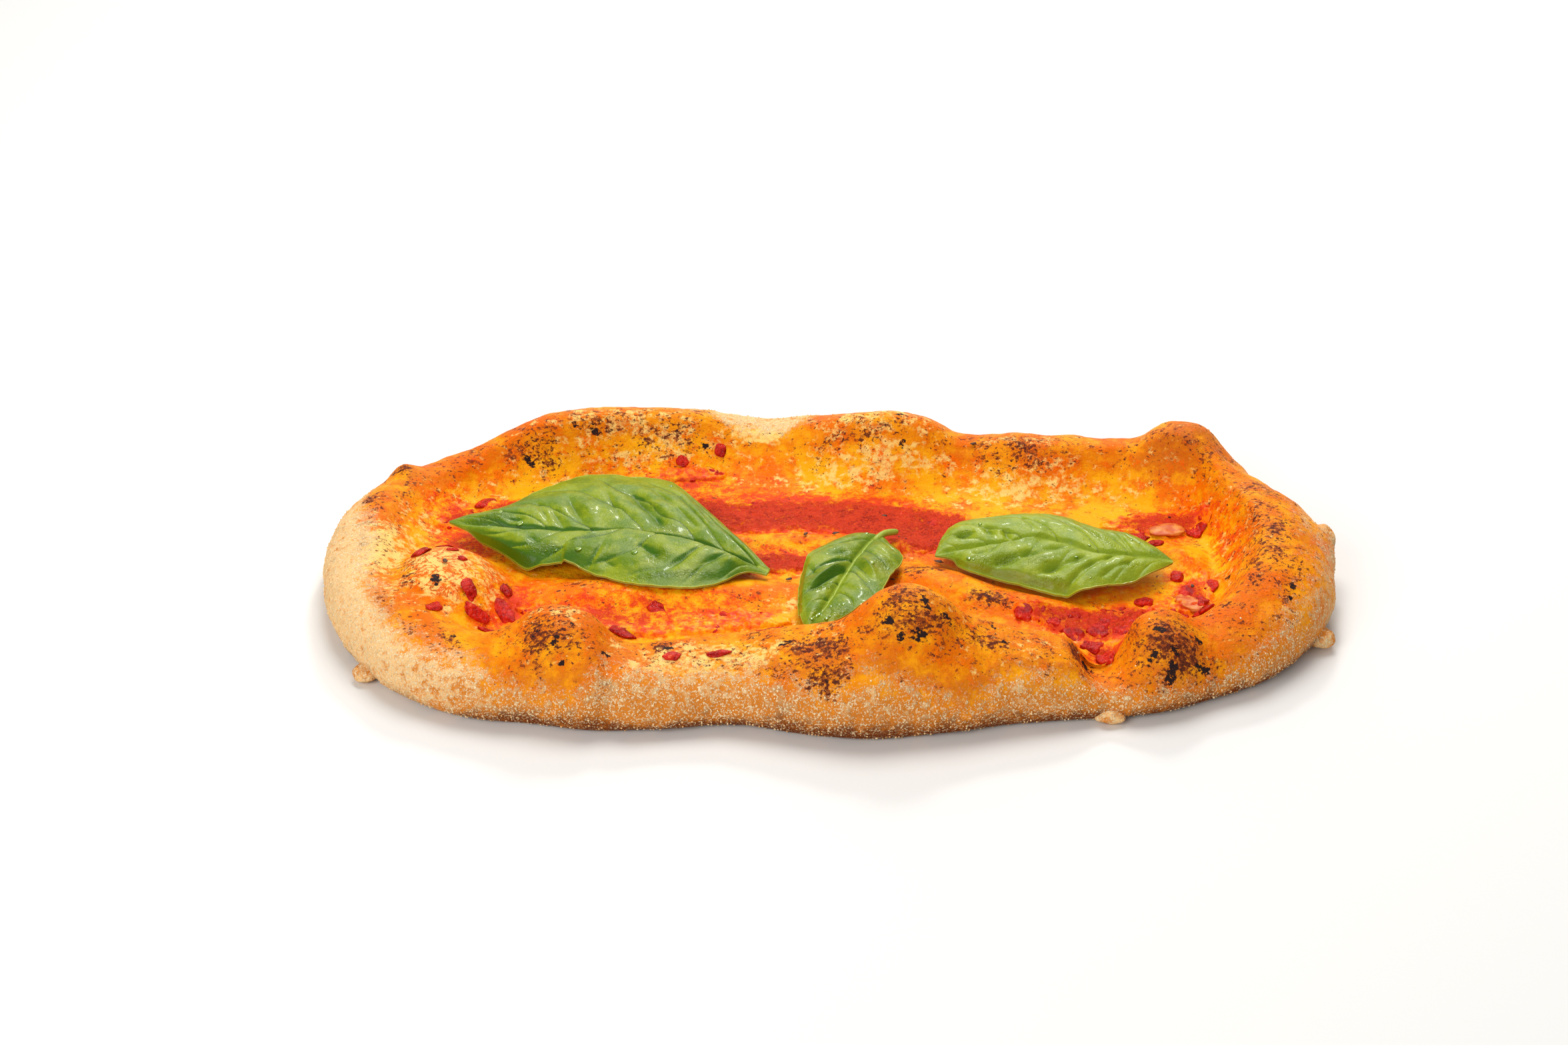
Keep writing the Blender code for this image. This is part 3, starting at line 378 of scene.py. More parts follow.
# folds of each leaf as lines in plan: x, y of both ends, depth (a ridge where negative), half-width
LEAF_FOLDS = (
    ((-59.2, 27.6, -52, 14, 2.4, 2.4), (-52, 14, -48.3, 9.2, 2.0, 2.0),
     (-78.2, 23.9, -72.6, 10.1, 1.6, 1.9), (-82.7, 16.8, -78.3, 8.3, 1.3, 1.6),
     (-96, 12.5, -90, 11.5, 1.0, 1.8), (-68, 31, -62, 12, 0.9, 1.2), (-52.8, 30, -45, 18, 0.8, 0.9),
     (-45, 18, -39, 8, 0.8, 0.9), (-39, 19, -33, 7, 0.6, 0.8), (-87, 21, -83, 10, 0.8, 1.2),
     (-56, -3.4, -48.5, -11, 1.5, 2.2), (-65.5, -10, -61, -13, 0.8, 2.0),
     (-47.3, -15.3, -38.3, -6.8, 1.1, 0.9), (-70, -12, -66, -3, 0.6, 0.8), (-37, -13, -29, -8, 0.6, 0.8),
     (-90, 3, -84, -1, 1.0, 1.6), (-53, 22, -49, 17, -0.8, 2.2), (-74, 20, -70, 14, -0.7, 2.4)),
    ((-5.4, -25, 4.4, -13.5, -1.6, 1.5), (-5.6, -27.6, 3.6, -17.4, 1.3, 1.2),
     (-3.6, -15.6, 4.6, -10.6, 1.2, 1.4), (8.2, -9.9, 12.9, -21.4, -1.4, 1.4),
     (6.6, -12.5, 11.4, -23.5, 1.0, 1.1), (-6, -14.5, -3.5, -19.5, 1.0, 1.8),
     (-1, -9.5, 5.5, -6.5, 0.9, 1.3), (2.5, -24, 7, -31, 0.7, 1.6), (12.5, -4.5, 19, -13, 0.5, 0.8),
     (-3, -30, 0, -35, 0.5, 0.8)),
    ((36, 2.2, 43, 3.6, 1.9, 2.2), (45.5, 6.2, 48.5, 2.2, 1.8, 1.6), (51, 4.4, 53, 0.5, 1.5, 1.4),
     (47.5, -5.6, 54, -2.8, -0.9, 1.4), (54, -2.8, 62, 2.6, -0.9, 1.6), (47, -12, 55, -9, 1.9, 1.9),
     (55, -9, 62, -7.2, 2.0, 2.0), (62, -7.2, 70, -3.6, 1.6, 1.5), (61, -16.2, 68, -13.6, 1.8, 1.8),
     (68, -13.6, 75, -9.8, 1.5, 1.4), (67.7, -21.3, 71.7, -16.9, 0.9, 0.9),
     (71.7, -16.9, 77.9, -11.8, 1.1, 0.9), (77.9, -11.8, 84.2, -7.7, 0.9, 0.8),
     (77.4, -18.6, 81.5, -15.2, 0.8, 0.9), (81.5, -15.2, 89.6, -10.9, 0.7, 0.8),
     (56.5, 12, 60.5, 4, 0.9, 1.0), (73.5, 9, 80.5, -4.5, 0.6, 0.8), (41, -8, 46, -6.5, 1.2, 1.5),
     (84, 3, 88.5, -7.5, 0.5, 0.7)),
)
# painted shade: the dark line along each fold
FOLD_SHADE_WIDTH = 0.3  # how wide a fold's dark line is
# oil standing on each leaf: x, y, radii along and across, turn, strength
LEAF_POOLS = (
    ((-84.5, -3, 5.5, 2.4, -15, 1.0), (-46, -17.2, 12, 1.5, 5, 1.0), (-47.5, 7.5, 4.5, 2.2, -20, 0.9),
     (-101, 13, 7, 2, 5, 0.9), (-50, -10, 4, 3, 30, 0.8), (-38, -1, 5, 1.5, -25, 0.8)),
    ((-3.5, -27.2, 3.6, 1.4, 20, 1.0), (15.6, -14.5, 3.4, 4.2, 0, 0.8), (5, -8, 3, 3, 0, 0.5),
     (0, -38, 6, 3, 0, 0.7)),
    ((51, -10.5, 5, 2, 10, 1.0), (60, -11.8, 4.5, 2.2, 10, 1.0), (44, -10.5, 4, 2, 0, 0.8),
     (61, -19, 8, 1.4, -5, 0.9), (86.5, -13.7, 3.2, 1.4, 15, 0.8), (77, 2, 9, 1.0, -50, 0.7),
     (40, 3, 3, 1.5, 0, 0.6)),
)
# the front edge of each leaf rolls under from a first to a last share of its length
ROLLED_EDGES = ((0.66, 0.93), (0.35, 0.8), (0.42, 0.88))
ROLL_DROP = 2.2         # how far it rolls down
ROLL_START = (0.84, 0.16)  # side from which it rolls, and over how much of the half-width
ROLL_EASE = 0.06        # share of the leaf's length over which the roll starts and ends
# the near half of the left leaf is folded up along this line (x, y), as far as a share of the leaf's length
LOBE_LINE = ((-79, -3.5), (-77.4, -1.9), (-69.7, 2.6), (-59.8, 6.2), (-51.3, 2.8), (-41.6, -0.5),
             (-35.3, -3.8), (-26, -9))
LOBE_END = 0.612
LOBE_RISE = 1.7         # height of the step along the fold
LOBE_STEP = 1.3         # width of that step
LOBE_FALL = (0.75, 13.0)  # in front of it the lobe loses this share of its height over this width
LOBE_NOTCH = 0.008      # share of the leaf's length over which the lobe ends
LEAF_THICKNESS = 0.5
LEAF_PUFF = 1.6         # how far each half of a leaf crowns between midrib and edge
LEAF_QUILT = 0.45       # how far it swells between two side veins
QUILT_SHAPE = (1.15, 0.8, 0.4)  # how soon it is at its full height, its power, and the level it swells about
QUILT_ACROSS = (0.75, 0.6)  # powers of its height from the midrib to the edge
LEAF_PUCKER = ((7, 0.4, 84), (2.6, 0.16, 87))  # finer swellings, as layers of noise
LEAF_WAVE = (0.4, 27, 2)  # height of the waves in its edge, and how they run along and across
MIDRIB_GROOVE = (0.8, 1.0)  # how deep it is sunk, and over which half-width
VEIN_DEPTH = 0.22
VEIN_WIDTHS = (0.07, 0.06)  # of its groove and of its colour, as shares of half the space between two
VEIN_ENDS = (1.05, 0.3)  # side at which the veins have ended, and over how much of it
VEIN_WOBBLE = (14, 0.03, 81)  # one layer of noise
VEIN_BEND = 1.3         # power that bends a side vein towards the tip
FULL_HALF = 12.0        # half-width from which a leaf has its full relief
LEAF_VEINS = (8.3, 6.2, 7.6)  # side veins a side, leaf by leaf
VEIN_SLANT = 0.2        # how far a side vein runs on towards the tip, as a share of the leaf's length
MIDRIB_ENDS = (0.5, 1.0, 0.75)  # share of its length where each leaf's pale midrib has faded
MIDRIB_FADE = 0.35      # share of the length over which it fades
MIDRIB_WIDTHS = (0.3, 0.4)  # half-width of that pale line at the tip, and how much more at the stem
# small teeth of its edge: how far they stand out, in half-widths, how many, from which side, over how much
LEAF_TEETH = (0.025, 30, 0.6, 0.4)
LEAF_CELLS = (240, 124)  # points along and across a leaf
LEAF_GAP = 0.4          # least space between a leaf and what it rests on
LEAF_BLEND = 1.0        # a leaf bends onto its rest within this height of it
LEAF_REACH = 1.5        # a leaf clears the dough this far round each of its points
LEAF_YOUTH = (0.0, 0.0, 0.6)   # how much paler each leaf is than the first
# painted shade: these three lines set the deep green painted on each leaf's front-facing slopes and in its
# folds
LEAF_SHADE = (0.75, 0.7, 0.3)  # how deep a green each leaf takes where it slopes down to the front
SHADED_SLOPE = (0.2, 0.6)  # slope from which it does so, and over how much more
FOLD_SHADE_DEPTHS = (0.3, 0.2, 1.4)  # strength in a fold, depth from which, and over how much more
PALE_EDGE = (0.965, 0.035)  # side from which its edge is pale, and over how much more
PALE_ROLL = 0.35        # how pale the rolled edge is
# the stub of stalk on the middle leaf: x, y, height, radius
STALK = (
    (14, 0.5, 14.3, 0.1), (14.6, 1.6, 14.5, 0.9), (17.2, 5.4, 14.2, 1.0), (20.6, 8.0, 13.2, 0.9),
    (21.4, 8.5, 12.9, 0.1),
)
STALK_CELLS = (24, 12)  # rings along it, points round it
OIL_TRIES = 150         # drops of oil that are tried on each leaf
OIL_CHANCE = (0.05, 0.6)  # a drop's chance anywhere, and how much more where oil stands
OIL_MARGINS = (6, 4)    # grid points that drops keep from a leaf's ends and sides

# ---- floor, light and camera, in metres ----------------------------------------------------------
FLOOR_HALF = 3.0
# area lights: name, place, width, power in watts
LIGHTS = (
    ("overhead", (0.05, 0.3, 0.85), 0.6, 5.4), ("front", (-0.5, -0.75, 0.55), 0.7, 5.6),
    ("back_wall", (0, 1.3, 0.5), 1.4, 5.0), ("spark", (0.15, 0.95, 0.8), 0.16, 4.0),
)
LIT_POINT = (0, 0, 0.01)  # they all face it
ROOM_LIGHT = 0.3        # strength of the white all round
CAMERA_PLACE = (-0.01337, -0.66351, 0.4214)
CAMERA_TILT = 59.0      # from straight down
CAMERA_LENS = 60.96     # focal length and sensor width in millimetres
CAMERA_SENSOR = 36


# ---- noise and curves ----------------------------------------------------------------------------
NOISE_GRADIENTS = 256   # how many there are, a power of two
NOISE_GAIN = 1.6        # brings the noise to about -1 to 1


def gradient_noise(points, size, seed):
    """Perlin noise of about -1 to 1: the eight corner gradients of each cell, blended by a quintic fade."""
    draw = np.random.default_rng(seed)
    gradients = draw.normal(size=(NOISE_GRADIENTS, 3))
    gradients /= np.linalg.norm(gradients, axis=1)[:, None]
    order = draw.permutation(NOISE_GRADIENTS)
    last = NOISE_GRADIENTS - 1
    spots = points / size
    cell = np.floor(spots).astype(int)
    share = spots - cell
    fade = share ** 3 * (share * (share * 6 - 15) + 10)
    total = 0
    for corner in np.ndindex(2, 2, 2):
        corner = np.array(corner)
        a, b, c = np.moveaxis((cell + corner) & last, -1, 0)
        slope = gradients[order[(order[(order[a] + b) & last] + c) & last]]
        weight = np.prod(np.where(corner == 1, fade, 1 - fade), axis=-1)
        total = total + weight * np.sum(slope * (share - corner), axis=-1)
    return NOISE_GAIN * total


def flat_noise(x, y, size, seed):
    """The same noise in plan, at height 0."""
    return gradient_noise(np.stack([x, y, 0 * x], axis=-1), size, seed)


def layered_noise(x, y, layers, extra=0):
    """Sum of noises in plan, each layer given as its size, height and seed."""
    return sum(height * flat_noise(x, y, size, seed + extra) for size, height, seed in layers)


def smooth_step(share):
    """0 below 0 and 1 above 1, with 3 s^2 - 2 s^3 between."""
    share = np.clip(share, 0, 1)
    return share * share * (3 - 2 * share)


def bell(distance, width):
    """1 at 0, falling to both sides as exp(-(distance / width)^2)."""
    return np.exp(-(distance / width) ** 2)


def rising(value, start, width):
    """0 up to start, then a smooth step up to 1 over width."""
    return smooth_step((value - start) / width)


def falling(value, end, width):
    """1 well below end, with a smooth step down to 0 at end over width."""
    return smooth_step((end - value) / width)


def stretch_of(share, start, rise, end, fall):
    """1 on a stretch, with a smooth step up over its rise and another down over its fall."""
    return rising(share, start, rise) * (1 - rising(share, end, fall))


def at_least(least, share):
    """A share of 0 to 1 brought to between least and 1."""
    return least + (1 - least) * share


def through_points(points, place, closed):
    """Catmull-Rom curve through the rows of points; place counts rows, and a closed curve wraps round."""
    count = len(points)
    index = np.clip(np.floor(place).astype(int), 0, count - (0 if closed else 2))
    share = (place - index)[..., None]
    step = (index[..., None] + np.arange(-1, 3))
    step = step % count if closed else np.clip(step, 0, count - 1)
    before, start, end, after = np.moveaxis(points[step], -2, 0)
    return 0.5 * (2 * start + (end - before) * share
                  + (2 * before - 5 * start + 4 * end - after) * share ** 2
                  + (3 * start - before - 3 * end + after) * share ** 3)


def oval_distance(x, y, centre_x, centre_y, along, across, turn):
    """Distance from the centre of a turned ellipse, 1 on the ellipse itself."""
    angle = math.radians(turn)
    dx = x - centre_x
    dy = y - centre_y
    first = (dx * math.cos(angle) + dy * math.sin(angle)) / along
    second = (dy * math.cos(angle) - dx * math.sin(angle)) / across
    return np.hypot(first, second)


def ovals(x, y, rows, power=2.4):
    """Strength of a mark at each point: the strongest of its soft ovals, exp(-distance ** power)."""
    marks = [strength * np.exp(-oval_distance(x, y, cx, cy, along, across, turn) ** power)
             for cx, cy, along, across, turn, strength in rows]
    return np.max(marks, axis=0)


# ---- the sleeve of dough -------------------------------------------------------------------------
def rim_curves(steps):
    """Outline, crest and toe at even steps round the rim, starting at the right-hand end."""
    stations = np.array([row[1:] for row in RIM_STATIONS], dtype=float)
    fine = np.linspace(0, len(stations), len(stations) * STATION_STEPS + 1)
    outline = through_points(stations[:, :2], fine, closed=True)
    walked = np.concatenate([[0], np.cumsum(np.hypot(*np.diff(outline, axis=0).T))])
    place = np.interp(np.arange(steps) / steps * walked[-1], walked, fine)
    curves = through_points(stations, place, closed=True)
    return curves[:, 0:2], curves[:, 2:5], curves[:, 5:7]


def rim_section(row, outline, crest, toe, middle):
    """One row of the sleeve: 0-1 underside, 1-2 outer side, 2-3 inner slope, 3-4 floor."""
    inward = crest[:, :2] - outline
    inward /= np.linalg.norm(inward, axis=1)[:, None]
    foot = outline + inward * FOOT_INSET
    bulge_height = BULGE_SHARE * crest[:, 2]
    if row <= 1:
        return middle + (foot - middle) * row, 0 * bulge_height
    if row <= BULGE_ROW:
        angle = (row - 1) / (BULGE_ROW - 1) * math.pi / 2
        return foot + (outline - foot) * math.sin(angle), bulge_height * (1 - math.cos(angle))
    if row <= 2:
        angle = (row - BULGE_ROW) / (2 - BULGE_ROW) * math.pi / 2
        inset = 1 - max(math.cos(angle), 0) ** CREST_FULLNESS
        rise = math.sin(angle) ** CREST_FULLNESS
        return outline + (crest[:, :2] - outline) * inset, bulge_height + (crest[:, 2] - bulge_height) * rise
    if row <= 3:
        share = row - 2
        ease = 0.5 * (1 + math.cos(math.pi * share ** SLOPE_LEAN))
        return crest[:, :2] + (toe - crest[:, :2]) * share, FLOOR_HEIGHT + (crest[:, 2] - FLOOR_HEIGHT) * ease
    return toe + (middle - toe) * (row - 3), FLOOR_HEIGHT + 0 * bulge_height


def sleeve_normals(points):
    """Unit normals of the sleeve: the cross product of its steps round and along."""
    around = np.roll(points, -1, axis=0) - np.roll(points, 1, axis=0)
    along = np.gradient(points, axis=1)
    normal = np.cross(around, along)
    return normal / np.maximum(np.linalg.norm(normal, axis=2), SMALLEST)[..., None]


def blister_rise(points):
    """How far the blister's dome lifts each point, rounded where the dome meets the dough round it."""
    x, y, height = np.moveaxis(points, -1, 0)
    middle_x, middle_y, rise, along, across, turn, power = BLISTER
    dome = FLOOR_HEIGHT + rise * (1 - oval_distance(x, y, middle_x, middle_y, along, across, turn) ** power)
    near = np.maximum(BLISTER_BLEND - np.abs(height - dome), 0)
    return np.maximum(dome - height, 0) + near ** 2 / (4 * BLISTER_BLEND)


def meet_in_the_middle(points):
    """The two halves of the underside and of the floor meet on the middle line, point by point."""
    other_side = -np.arange(len(points)) % len(points)
    for end in (0, -1):
        points[:, end] = (points[:, end] + points[other_side, end]) / 2


def dough_form(steps, rows):
    """The dough without relief, in millimetres, as an array (round, along, xyz)."""
    outline, crest, toe = rim_curves(steps)
    turn = 2 * math.pi * np.arange(steps) / steps
    middle = np.stack([CENTRE_LINE_HALF * np.cos(turn), 0 * turn], axis=1)
    points = np.zeros((steps, len(rows), 3))
    for index, row in enumerate(rows):
        plan, height = rim_section(row, outline, crest, toe, middle)
        points[:, index, :2] = plan
        points[:, index, 2] = height
    swell = np.zeros(points.shape[:2])
    for _, x, y, height, along, across, angle, power in SWELLINGS:
        distance = oval_distance(points[..., 0], points[..., 1], x, y, along, across, angle)
        swell += height * np.exp(-distance ** power)
    fade = smooth_step(points[..., 2] / FADE_HEIGHT) * (rows > 1)
    turn_start, turn_end = UPRIGHT_ROWS
    upright = smooth_step((rows - turn_start) / (turn_end - turn_start))[None, :, None]
    push = sleeve_normals(points) * (1 - upright) + np.array([0.0, 0.0, 1.0]) * upright
    push /= np.maximum(np.linalg.norm(push, axis=2), SMALLEST)[..., None]
    points = points + push * (swell * fade)[..., None]
    points[..., 2] += blister_rise(points) * upright[..., 0]
    meet_in_the_middle(points)
    return points


def with_relief(points, rows):
    """The dough with its lumps, dimples and fine grain pushed out along its normals by layers of noise."""
    normal = sleeve_normals(points)
    on_floor = smooth_step(rows - UPRIGHT_ROWS[1])[None, :]
    above_foot = smooth_step(points[..., 2] / RELIEF_FADE) * (rows > 1)[None, :]
    push = 0
    for number, (_, size, height, kept) in enumerate(RELIEF):
        noise = gradient_noise(points, size, RELIEF_SEED + number)
        push = push + height * noise * (1 + (kept - 1) * on_floor)
    points = points + normal * (push * above_foot)[..., None]
    meet_in_the_middle(points)
    return points


def shifted(points):
    """Points of the modelled outline in the part's own frame."""
    return points + np.array([*CENTRE_SHIFT, 0])


def cells_of(index, wrap):
    """Corner numbers of the quads of a grid of point numbers; wrap closes its first direction."""
    first = index if wrap else index[:-1]
    second = np.roll(index, -1, axis=0) if wrap else index[1:]
    quads = np.stack([first[:, :-1], second[:, :-1], second[:, 1:], first[:, 1:]], axis=-1)
    return quads.reshape(-1, 4)


def sleeve_cells(steps, rows):
    """Quads of the sleeve, whose end rows use the same points on both sides of the middle line."""
    index = np.arange(steps * rows).reshape(steps, rows)
    step = np.arange(steps)
    mirror = np.minimum(step, (steps - step) % steps)
    index[:, 0] = mirror * rows
    index[:, -1] = mirror * rows + rows - 1
    used, index = np.unique(index, return_inverse=True)
    return used, cells_of(index.reshape(steps, rows), wrap=True)


# ---- meshes --------------------------------------------------------------------------------------
def new_piece(name, points, faces, material, slot, marks=None, smooth=True):
    """An object at the origin from points in millimetres, faces of one size, and named values at points."""
    mesh = bpy.data.meshes.new(name)
    mesh.vertices.add(len(points))
    mesh.vertices.foreach_set("co", (np.asarray(points) * MM).astype(np.float32).ravel())
    mesh.loops.add(faces.size)
    mesh.loops.foreach_set("vertex_index", faces.astype(np.int32).ravel())
    mesh.polygons.add(len(faces))
    mesh.polygons.foreach_set("loop_start", np.arange(len(faces), dtype=np.int32) * faces.shape[1])
    mesh.update(calc_edges=True)
    mesh.validate()
    for mark, values in (marks or {}).items():
        layer = mesh.attributes.new(mark, "FLOAT", "POINT")
        layer.data.foreach_set("value", np.asarray(values, dtype=np.float32).ravel())
    mesh.materials.append(material)
    if smooth:
        mesh.shade_smooth()
    piece = bpy.data.objects.new(name, mesh)
    bpy.context.scene.collection.objects.link(piece)
    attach(piece, "root")
    return piece


def closed_sheet(top, thickness):
    """Points and quads of a closed sheet: a grid of points, its copy lower down, and a wall round them."""
    rows, columns = top.shape[:2]
    count = rows * columns
    above = np.arange(count).reshape(rows, columns)
    below = above + count
    lower = top - np.array([0, 0, 1.0]) * np.broadcast_to(thickness, (rows, columns))[..., None]
    edge = np.concatenate([above[0, :-1], above[:-1, -1], above[-1, :0:-1], above[:0:-1, 0]])
    after = np.roll(edge, -1)
    wall = np.stack([edge, edge + count, after + count, after], axis=1)
    quads = np.concatenate([cells_of(above, wrap=False), cells_of(below, wrap=False)[:, ::-1], wall])
    points = np.concatenate([top.reshape(-1, 3), lower.reshape(-1, 3)])
    return points, quads


def facing_out(points, faces):
    """The faces, turned round where the closed surface they make has a negative volume."""
    first, *others = np.moveaxis(points[faces], 1, 0)
    volume = sum(np.sum(first * np.cross(second, third)) for second, third in zip(others, others[1:]))
    return faces if volume > 0 else faces[:, ::-1]


def cut_in_triangles(quads):
    """Two triangles for each quad, without those that a pole has closed to a line."""
    triangles = np.concatenate([quads[:, [0, 1, 2]], quads[:, [0, 2, 3]]])
    first, second, third = triangles.T
    return triangles[(first != second) & (second != third) & (first != third)]


# ---- plan maps -----------------------------------------------------------------------------------
MAP_CELL = 0.5          # size of a cell
MAP_HALF = (155.0, 90.0)  # half-length and half-width


def plan_map(x, y, values):
    """Highest value in each cell of a plan grid."""
    columns, rows = (int(2 * half / MAP_CELL) + 1 for half in MAP_HALF)
    cells = np.zeros((columns, rows))
    i = np.rint((x + MAP_HALF[0]) / MAP_CELL).astype(int)
    j = np.rint((y + MAP_HALF[1]) / MAP_CELL).astype(int)
    np.maximum.at(cells, (i.ravel(), j.ravel()), values.ravel())
    return cells


def laid_between(points):
    """A grid of points with three more between any two neighbours, in both directions."""
    for axis in (0, 1):
        for _ in range(2):
            after = np.roll(points, -1, axis=axis)
            if axis == 1:
                after[:, -1] = points[:, -1]
            shape = list(points.shape)
            shape[axis] *= 2
            points = np.stack([points, (points + after) / 2], axis=axis + 1).reshape(shape)
    return points


def height_map(points):
    """Plan map of the highest of a grid of points, made finer so that no cell of the map is missed."""
    finer = laid_between(points)
    return plan_map(finer[..., 0], finer[..., 1], finer[..., 2])


def read_map(cells, x, y):
    """The map's value at each point, blended between its four nearest cells."""
    u = np.clip((x + MAP_HALF[0]) / MAP_CELL, 0, cells.shape[0] - 1.001)
    v = np.clip((y + MAP_HALF[1]) / MAP_CELL, 0, cells.shape[1] - 1.001)
    i = u.astype(int)
    j = v.astype(int)
    a = u - i
    b = v - j
    near = cells[i, j] * (1 - b) + cells[i, j + 1] * b
    far = cells[i + 1, j] * (1 - b) + cells[i + 1, j + 1] * b
    return near * (1 - a) + far * a


def shifted_copies(cells, reach, axis):
    """The map moved along one axis by each whole number of cells within reach."""
    count = int(round(reach / MAP_CELL))
    return [np.roll(cells, shift, axis=axis) for shift in range(-count, count + 1)]


def widened(cells, reach):
    """The map with each cell raised to the highest within reach."""
    for axis in (0, 1):
        cells = np.max(shifted_copies(cells, reach, axis), axis=0)
    return cells


def softened(cells, reach):
    """The map averaged twice over a square, which comes near a bell of that width."""
    for axis in (0, 1, 0, 1):
        cells = np.mean(shifted_copies(cells, reach, axis), axis=0)
    return cells


# ---- materials -----------------------------------------------------------------------------------
def rgb(red, green, blue):
    """Linear colour of an sRGB colour given as 0 to 255."""
    share = np.array([red, green, blue]) / 255
    linear = np.where(share < 0.04045, share / 12.92, ((share + 0.055) / 1.055) ** 2.4)
    return (*(float(v) for v in linear), 1.0)


class Finish:
    """A Principled material, and short ways to build the nodes that feed it."""

    def __init__(self, name, **sockets):
        self.material = bpy.data.materials.new(name)
        self.material.use_nodes = True
        self.tree = self.material.node_tree
        self.shader = self.tree.nodes["Principled BSDF"]
        self.place = self.tree.nodes.new("ShaderNodeTexCoord").outputs["Object"]
        for socket, value in sockets.items():
            self.set(socket.replace("_", " "), value)

    def feed(self, socket, value):
        """Link a socket to a node, or give it a plain value."""
        if isinstance(value, bpy.types.NodeSocket):
            self.tree.links.new(value, socket)
        else:
            socket.default_value = value

    def set(self, socket, value):
        """Feed one of the shader's own sockets."""
        self.feed(self.shader.inputs[socket], value)

    def mark(self, name):
        """A mark that the mesh keeps at its points."""
        node = self.tree.nodes.new("ShaderNodeAttribute")
        node.attribute_name = name
        return node.outputs["Fac"]

    def stretched(self, stretch, turn=0.0):
        """Object coordinates, scaled and turned about the vertical."""
        node = self.tree.nodes.new("ShaderNodeMapping")
        self.feed(node.inputs["Vector"], self.place)
        node.inputs["Scale"].default_value = stretch
        node.inputs["Rotation"].default_value = (0, 0, math.radians(turn))
        return node.outputs["Vector"]

    def maths(self, operation, *values):
        """One step of arithmetic."""
        node = self.tree.nodes.new("ShaderNodeMath")
        node.operation = operation
        for socket, value in zip(node.inputs, values):
            self.feed(socket, value)
        return node.outputs[0]

    def sum(self, *terms):
        """Weighted sum: each term is a value, or a pair of a value and its weight."""
        total = 0.0
        for term in terms:
            value, weight = term if isinstance(term, tuple) else (term, 1.0)
            total = self.maths("MULTIPLY_ADD", value, weight, total)
        return total

    def times(self, first, second):
        """Product of two values."""
        return self.maths("MULTIPLY", first, second)

    def noise(self, size, detail=3.0, rough=0.55, twist=0.0, place=None):
        """Noise of about -1 to 1 with features of about size millimetres."""
        node = self.tree.nodes.new("ShaderNodeTexNoise")
        self.feed(node.inputs["Vector"], place or self.place)
        node.inputs["Scale"].default_value = 1 / (size * MM)
        node.inputs["Detail"].default_value = detail
        node.inputs["Roughness"].default_value = rough
        node.inputs["Distortion"].default_value = twist
        return self.maths("MULTIPLY_ADD", node.outputs["Fac"], 4.0, -2.0)

    def dots(self, size, share, radius):
        """1 in round dots on a share of the cells of a Voronoi pattern, 0 at their radius in cells."""
        node = self.tree.nodes.new("ShaderNodeTexVoronoi")
        self.feed(node.inputs["Vector"], self.place)
        node.inputs["Scale"].default_value = 1 / (size * MM)
        grey = self.tree.nodes.new("ShaderNodeRGBToBW")
        self.feed(grey.inputs[0], node.outputs["Color"])
        chosen = self.maths("LESS_THAN", grey.outputs[0], share)
        return self.times(self.band(node.outputs["Distance"], radius, radius * 0.55), chosen)

    def cracks(self, size, width):
        """0 on the edges of a Voronoi pattern, rising to 1 at width, in cells, away from them."""
        node = self.tree.nodes.new("ShaderNodeTexVoronoi")
        node.feature = "DISTANCE_TO_EDGE"
        self.feed(node.inputs["Vector"], self.place)
        node.inputs["Scale"].default_value = 1 / (size * MM)
        return self.band(node.outputs["Distance"], 0.0, width)

    def band(self, value, low, high, start=0.0, end=1.0):
        """Smooth step of value from start at low to end at high."""
        node = self.tree.nodes.new("ShaderNodeMapRange")
        node.interpolation_type = "SMOOTHSTEP"
        self.feed(node.inputs["Value"], value)
        node.inputs["From Min"].default_value = low
        node.inputs["From Max"].default_value = high
        node.inputs["To Min"].default_value = start
        node.inputs["To Max"].default_value = end
        return node.outputs["Result"]

    def blend(self, amount, first, second):
        """The first colour, going over to the second as amount goes to 1."""
        node = self.tree.nodes.new("ShaderNodeMix")
        node.data_type = "RGBA"
        self.feed(node.inputs["Factor"], amount)
        self.feed(node.inputs[6], first)
        self.feed(node.inputs[7], second)
        return node.outputs[2]

    def bump(self, height, depth, normal=None):
        """Relief of depth millimetres from a height of 0 to 1."""
        node = self.tree.nodes.new("ShaderNodeBump")
        node.inputs["Distance"].default_value = depth * MM
        node.inputs["Strength"].default_value = 1.0
        self.feed(node.inputs["Height"], height)
        if normal is not None:
            self.feed(node.inputs["Normal"], normal)
        return node.outputs["Normal"]


CREAM = rgb(255, 230, 184)
PALE_TAN = rgb(252, 204, 140)
TAN = rgb(222, 132, 44)
TOASTED_TAN = rgb(116, 50, 16)
GOLD = rgb(253, 164, 12)
DEEP_GOLD = rgb(222, 98, 0)
SOAKED = rgb(254, 176, 12)
SOAKED_DEEP = rgb(240, 108, 0)
MARBLE = rgb(255, 218, 124)
LIGHT_BROWN = rgb(212, 112, 22)
BROWN = rgb(150, 74, 50)
RUST = rgb(128, 54, 20)
NET_ORANGE = rgb(226, 100, 6)
DARK_BROWN = rgb(94, 38, 24)
BLACK = rgb(44, 30, 30)
STAIN_ORANGE = rgb(250, 118, 0)
STAIN_RED = rgb(228, 62, 8)
# painted highlight on the peaks of the sauce's grit
SAUCE_HIGHLIGHT = rgb(246, 104, 30)
SAUCE_RED = rgb(224, 60, 26)
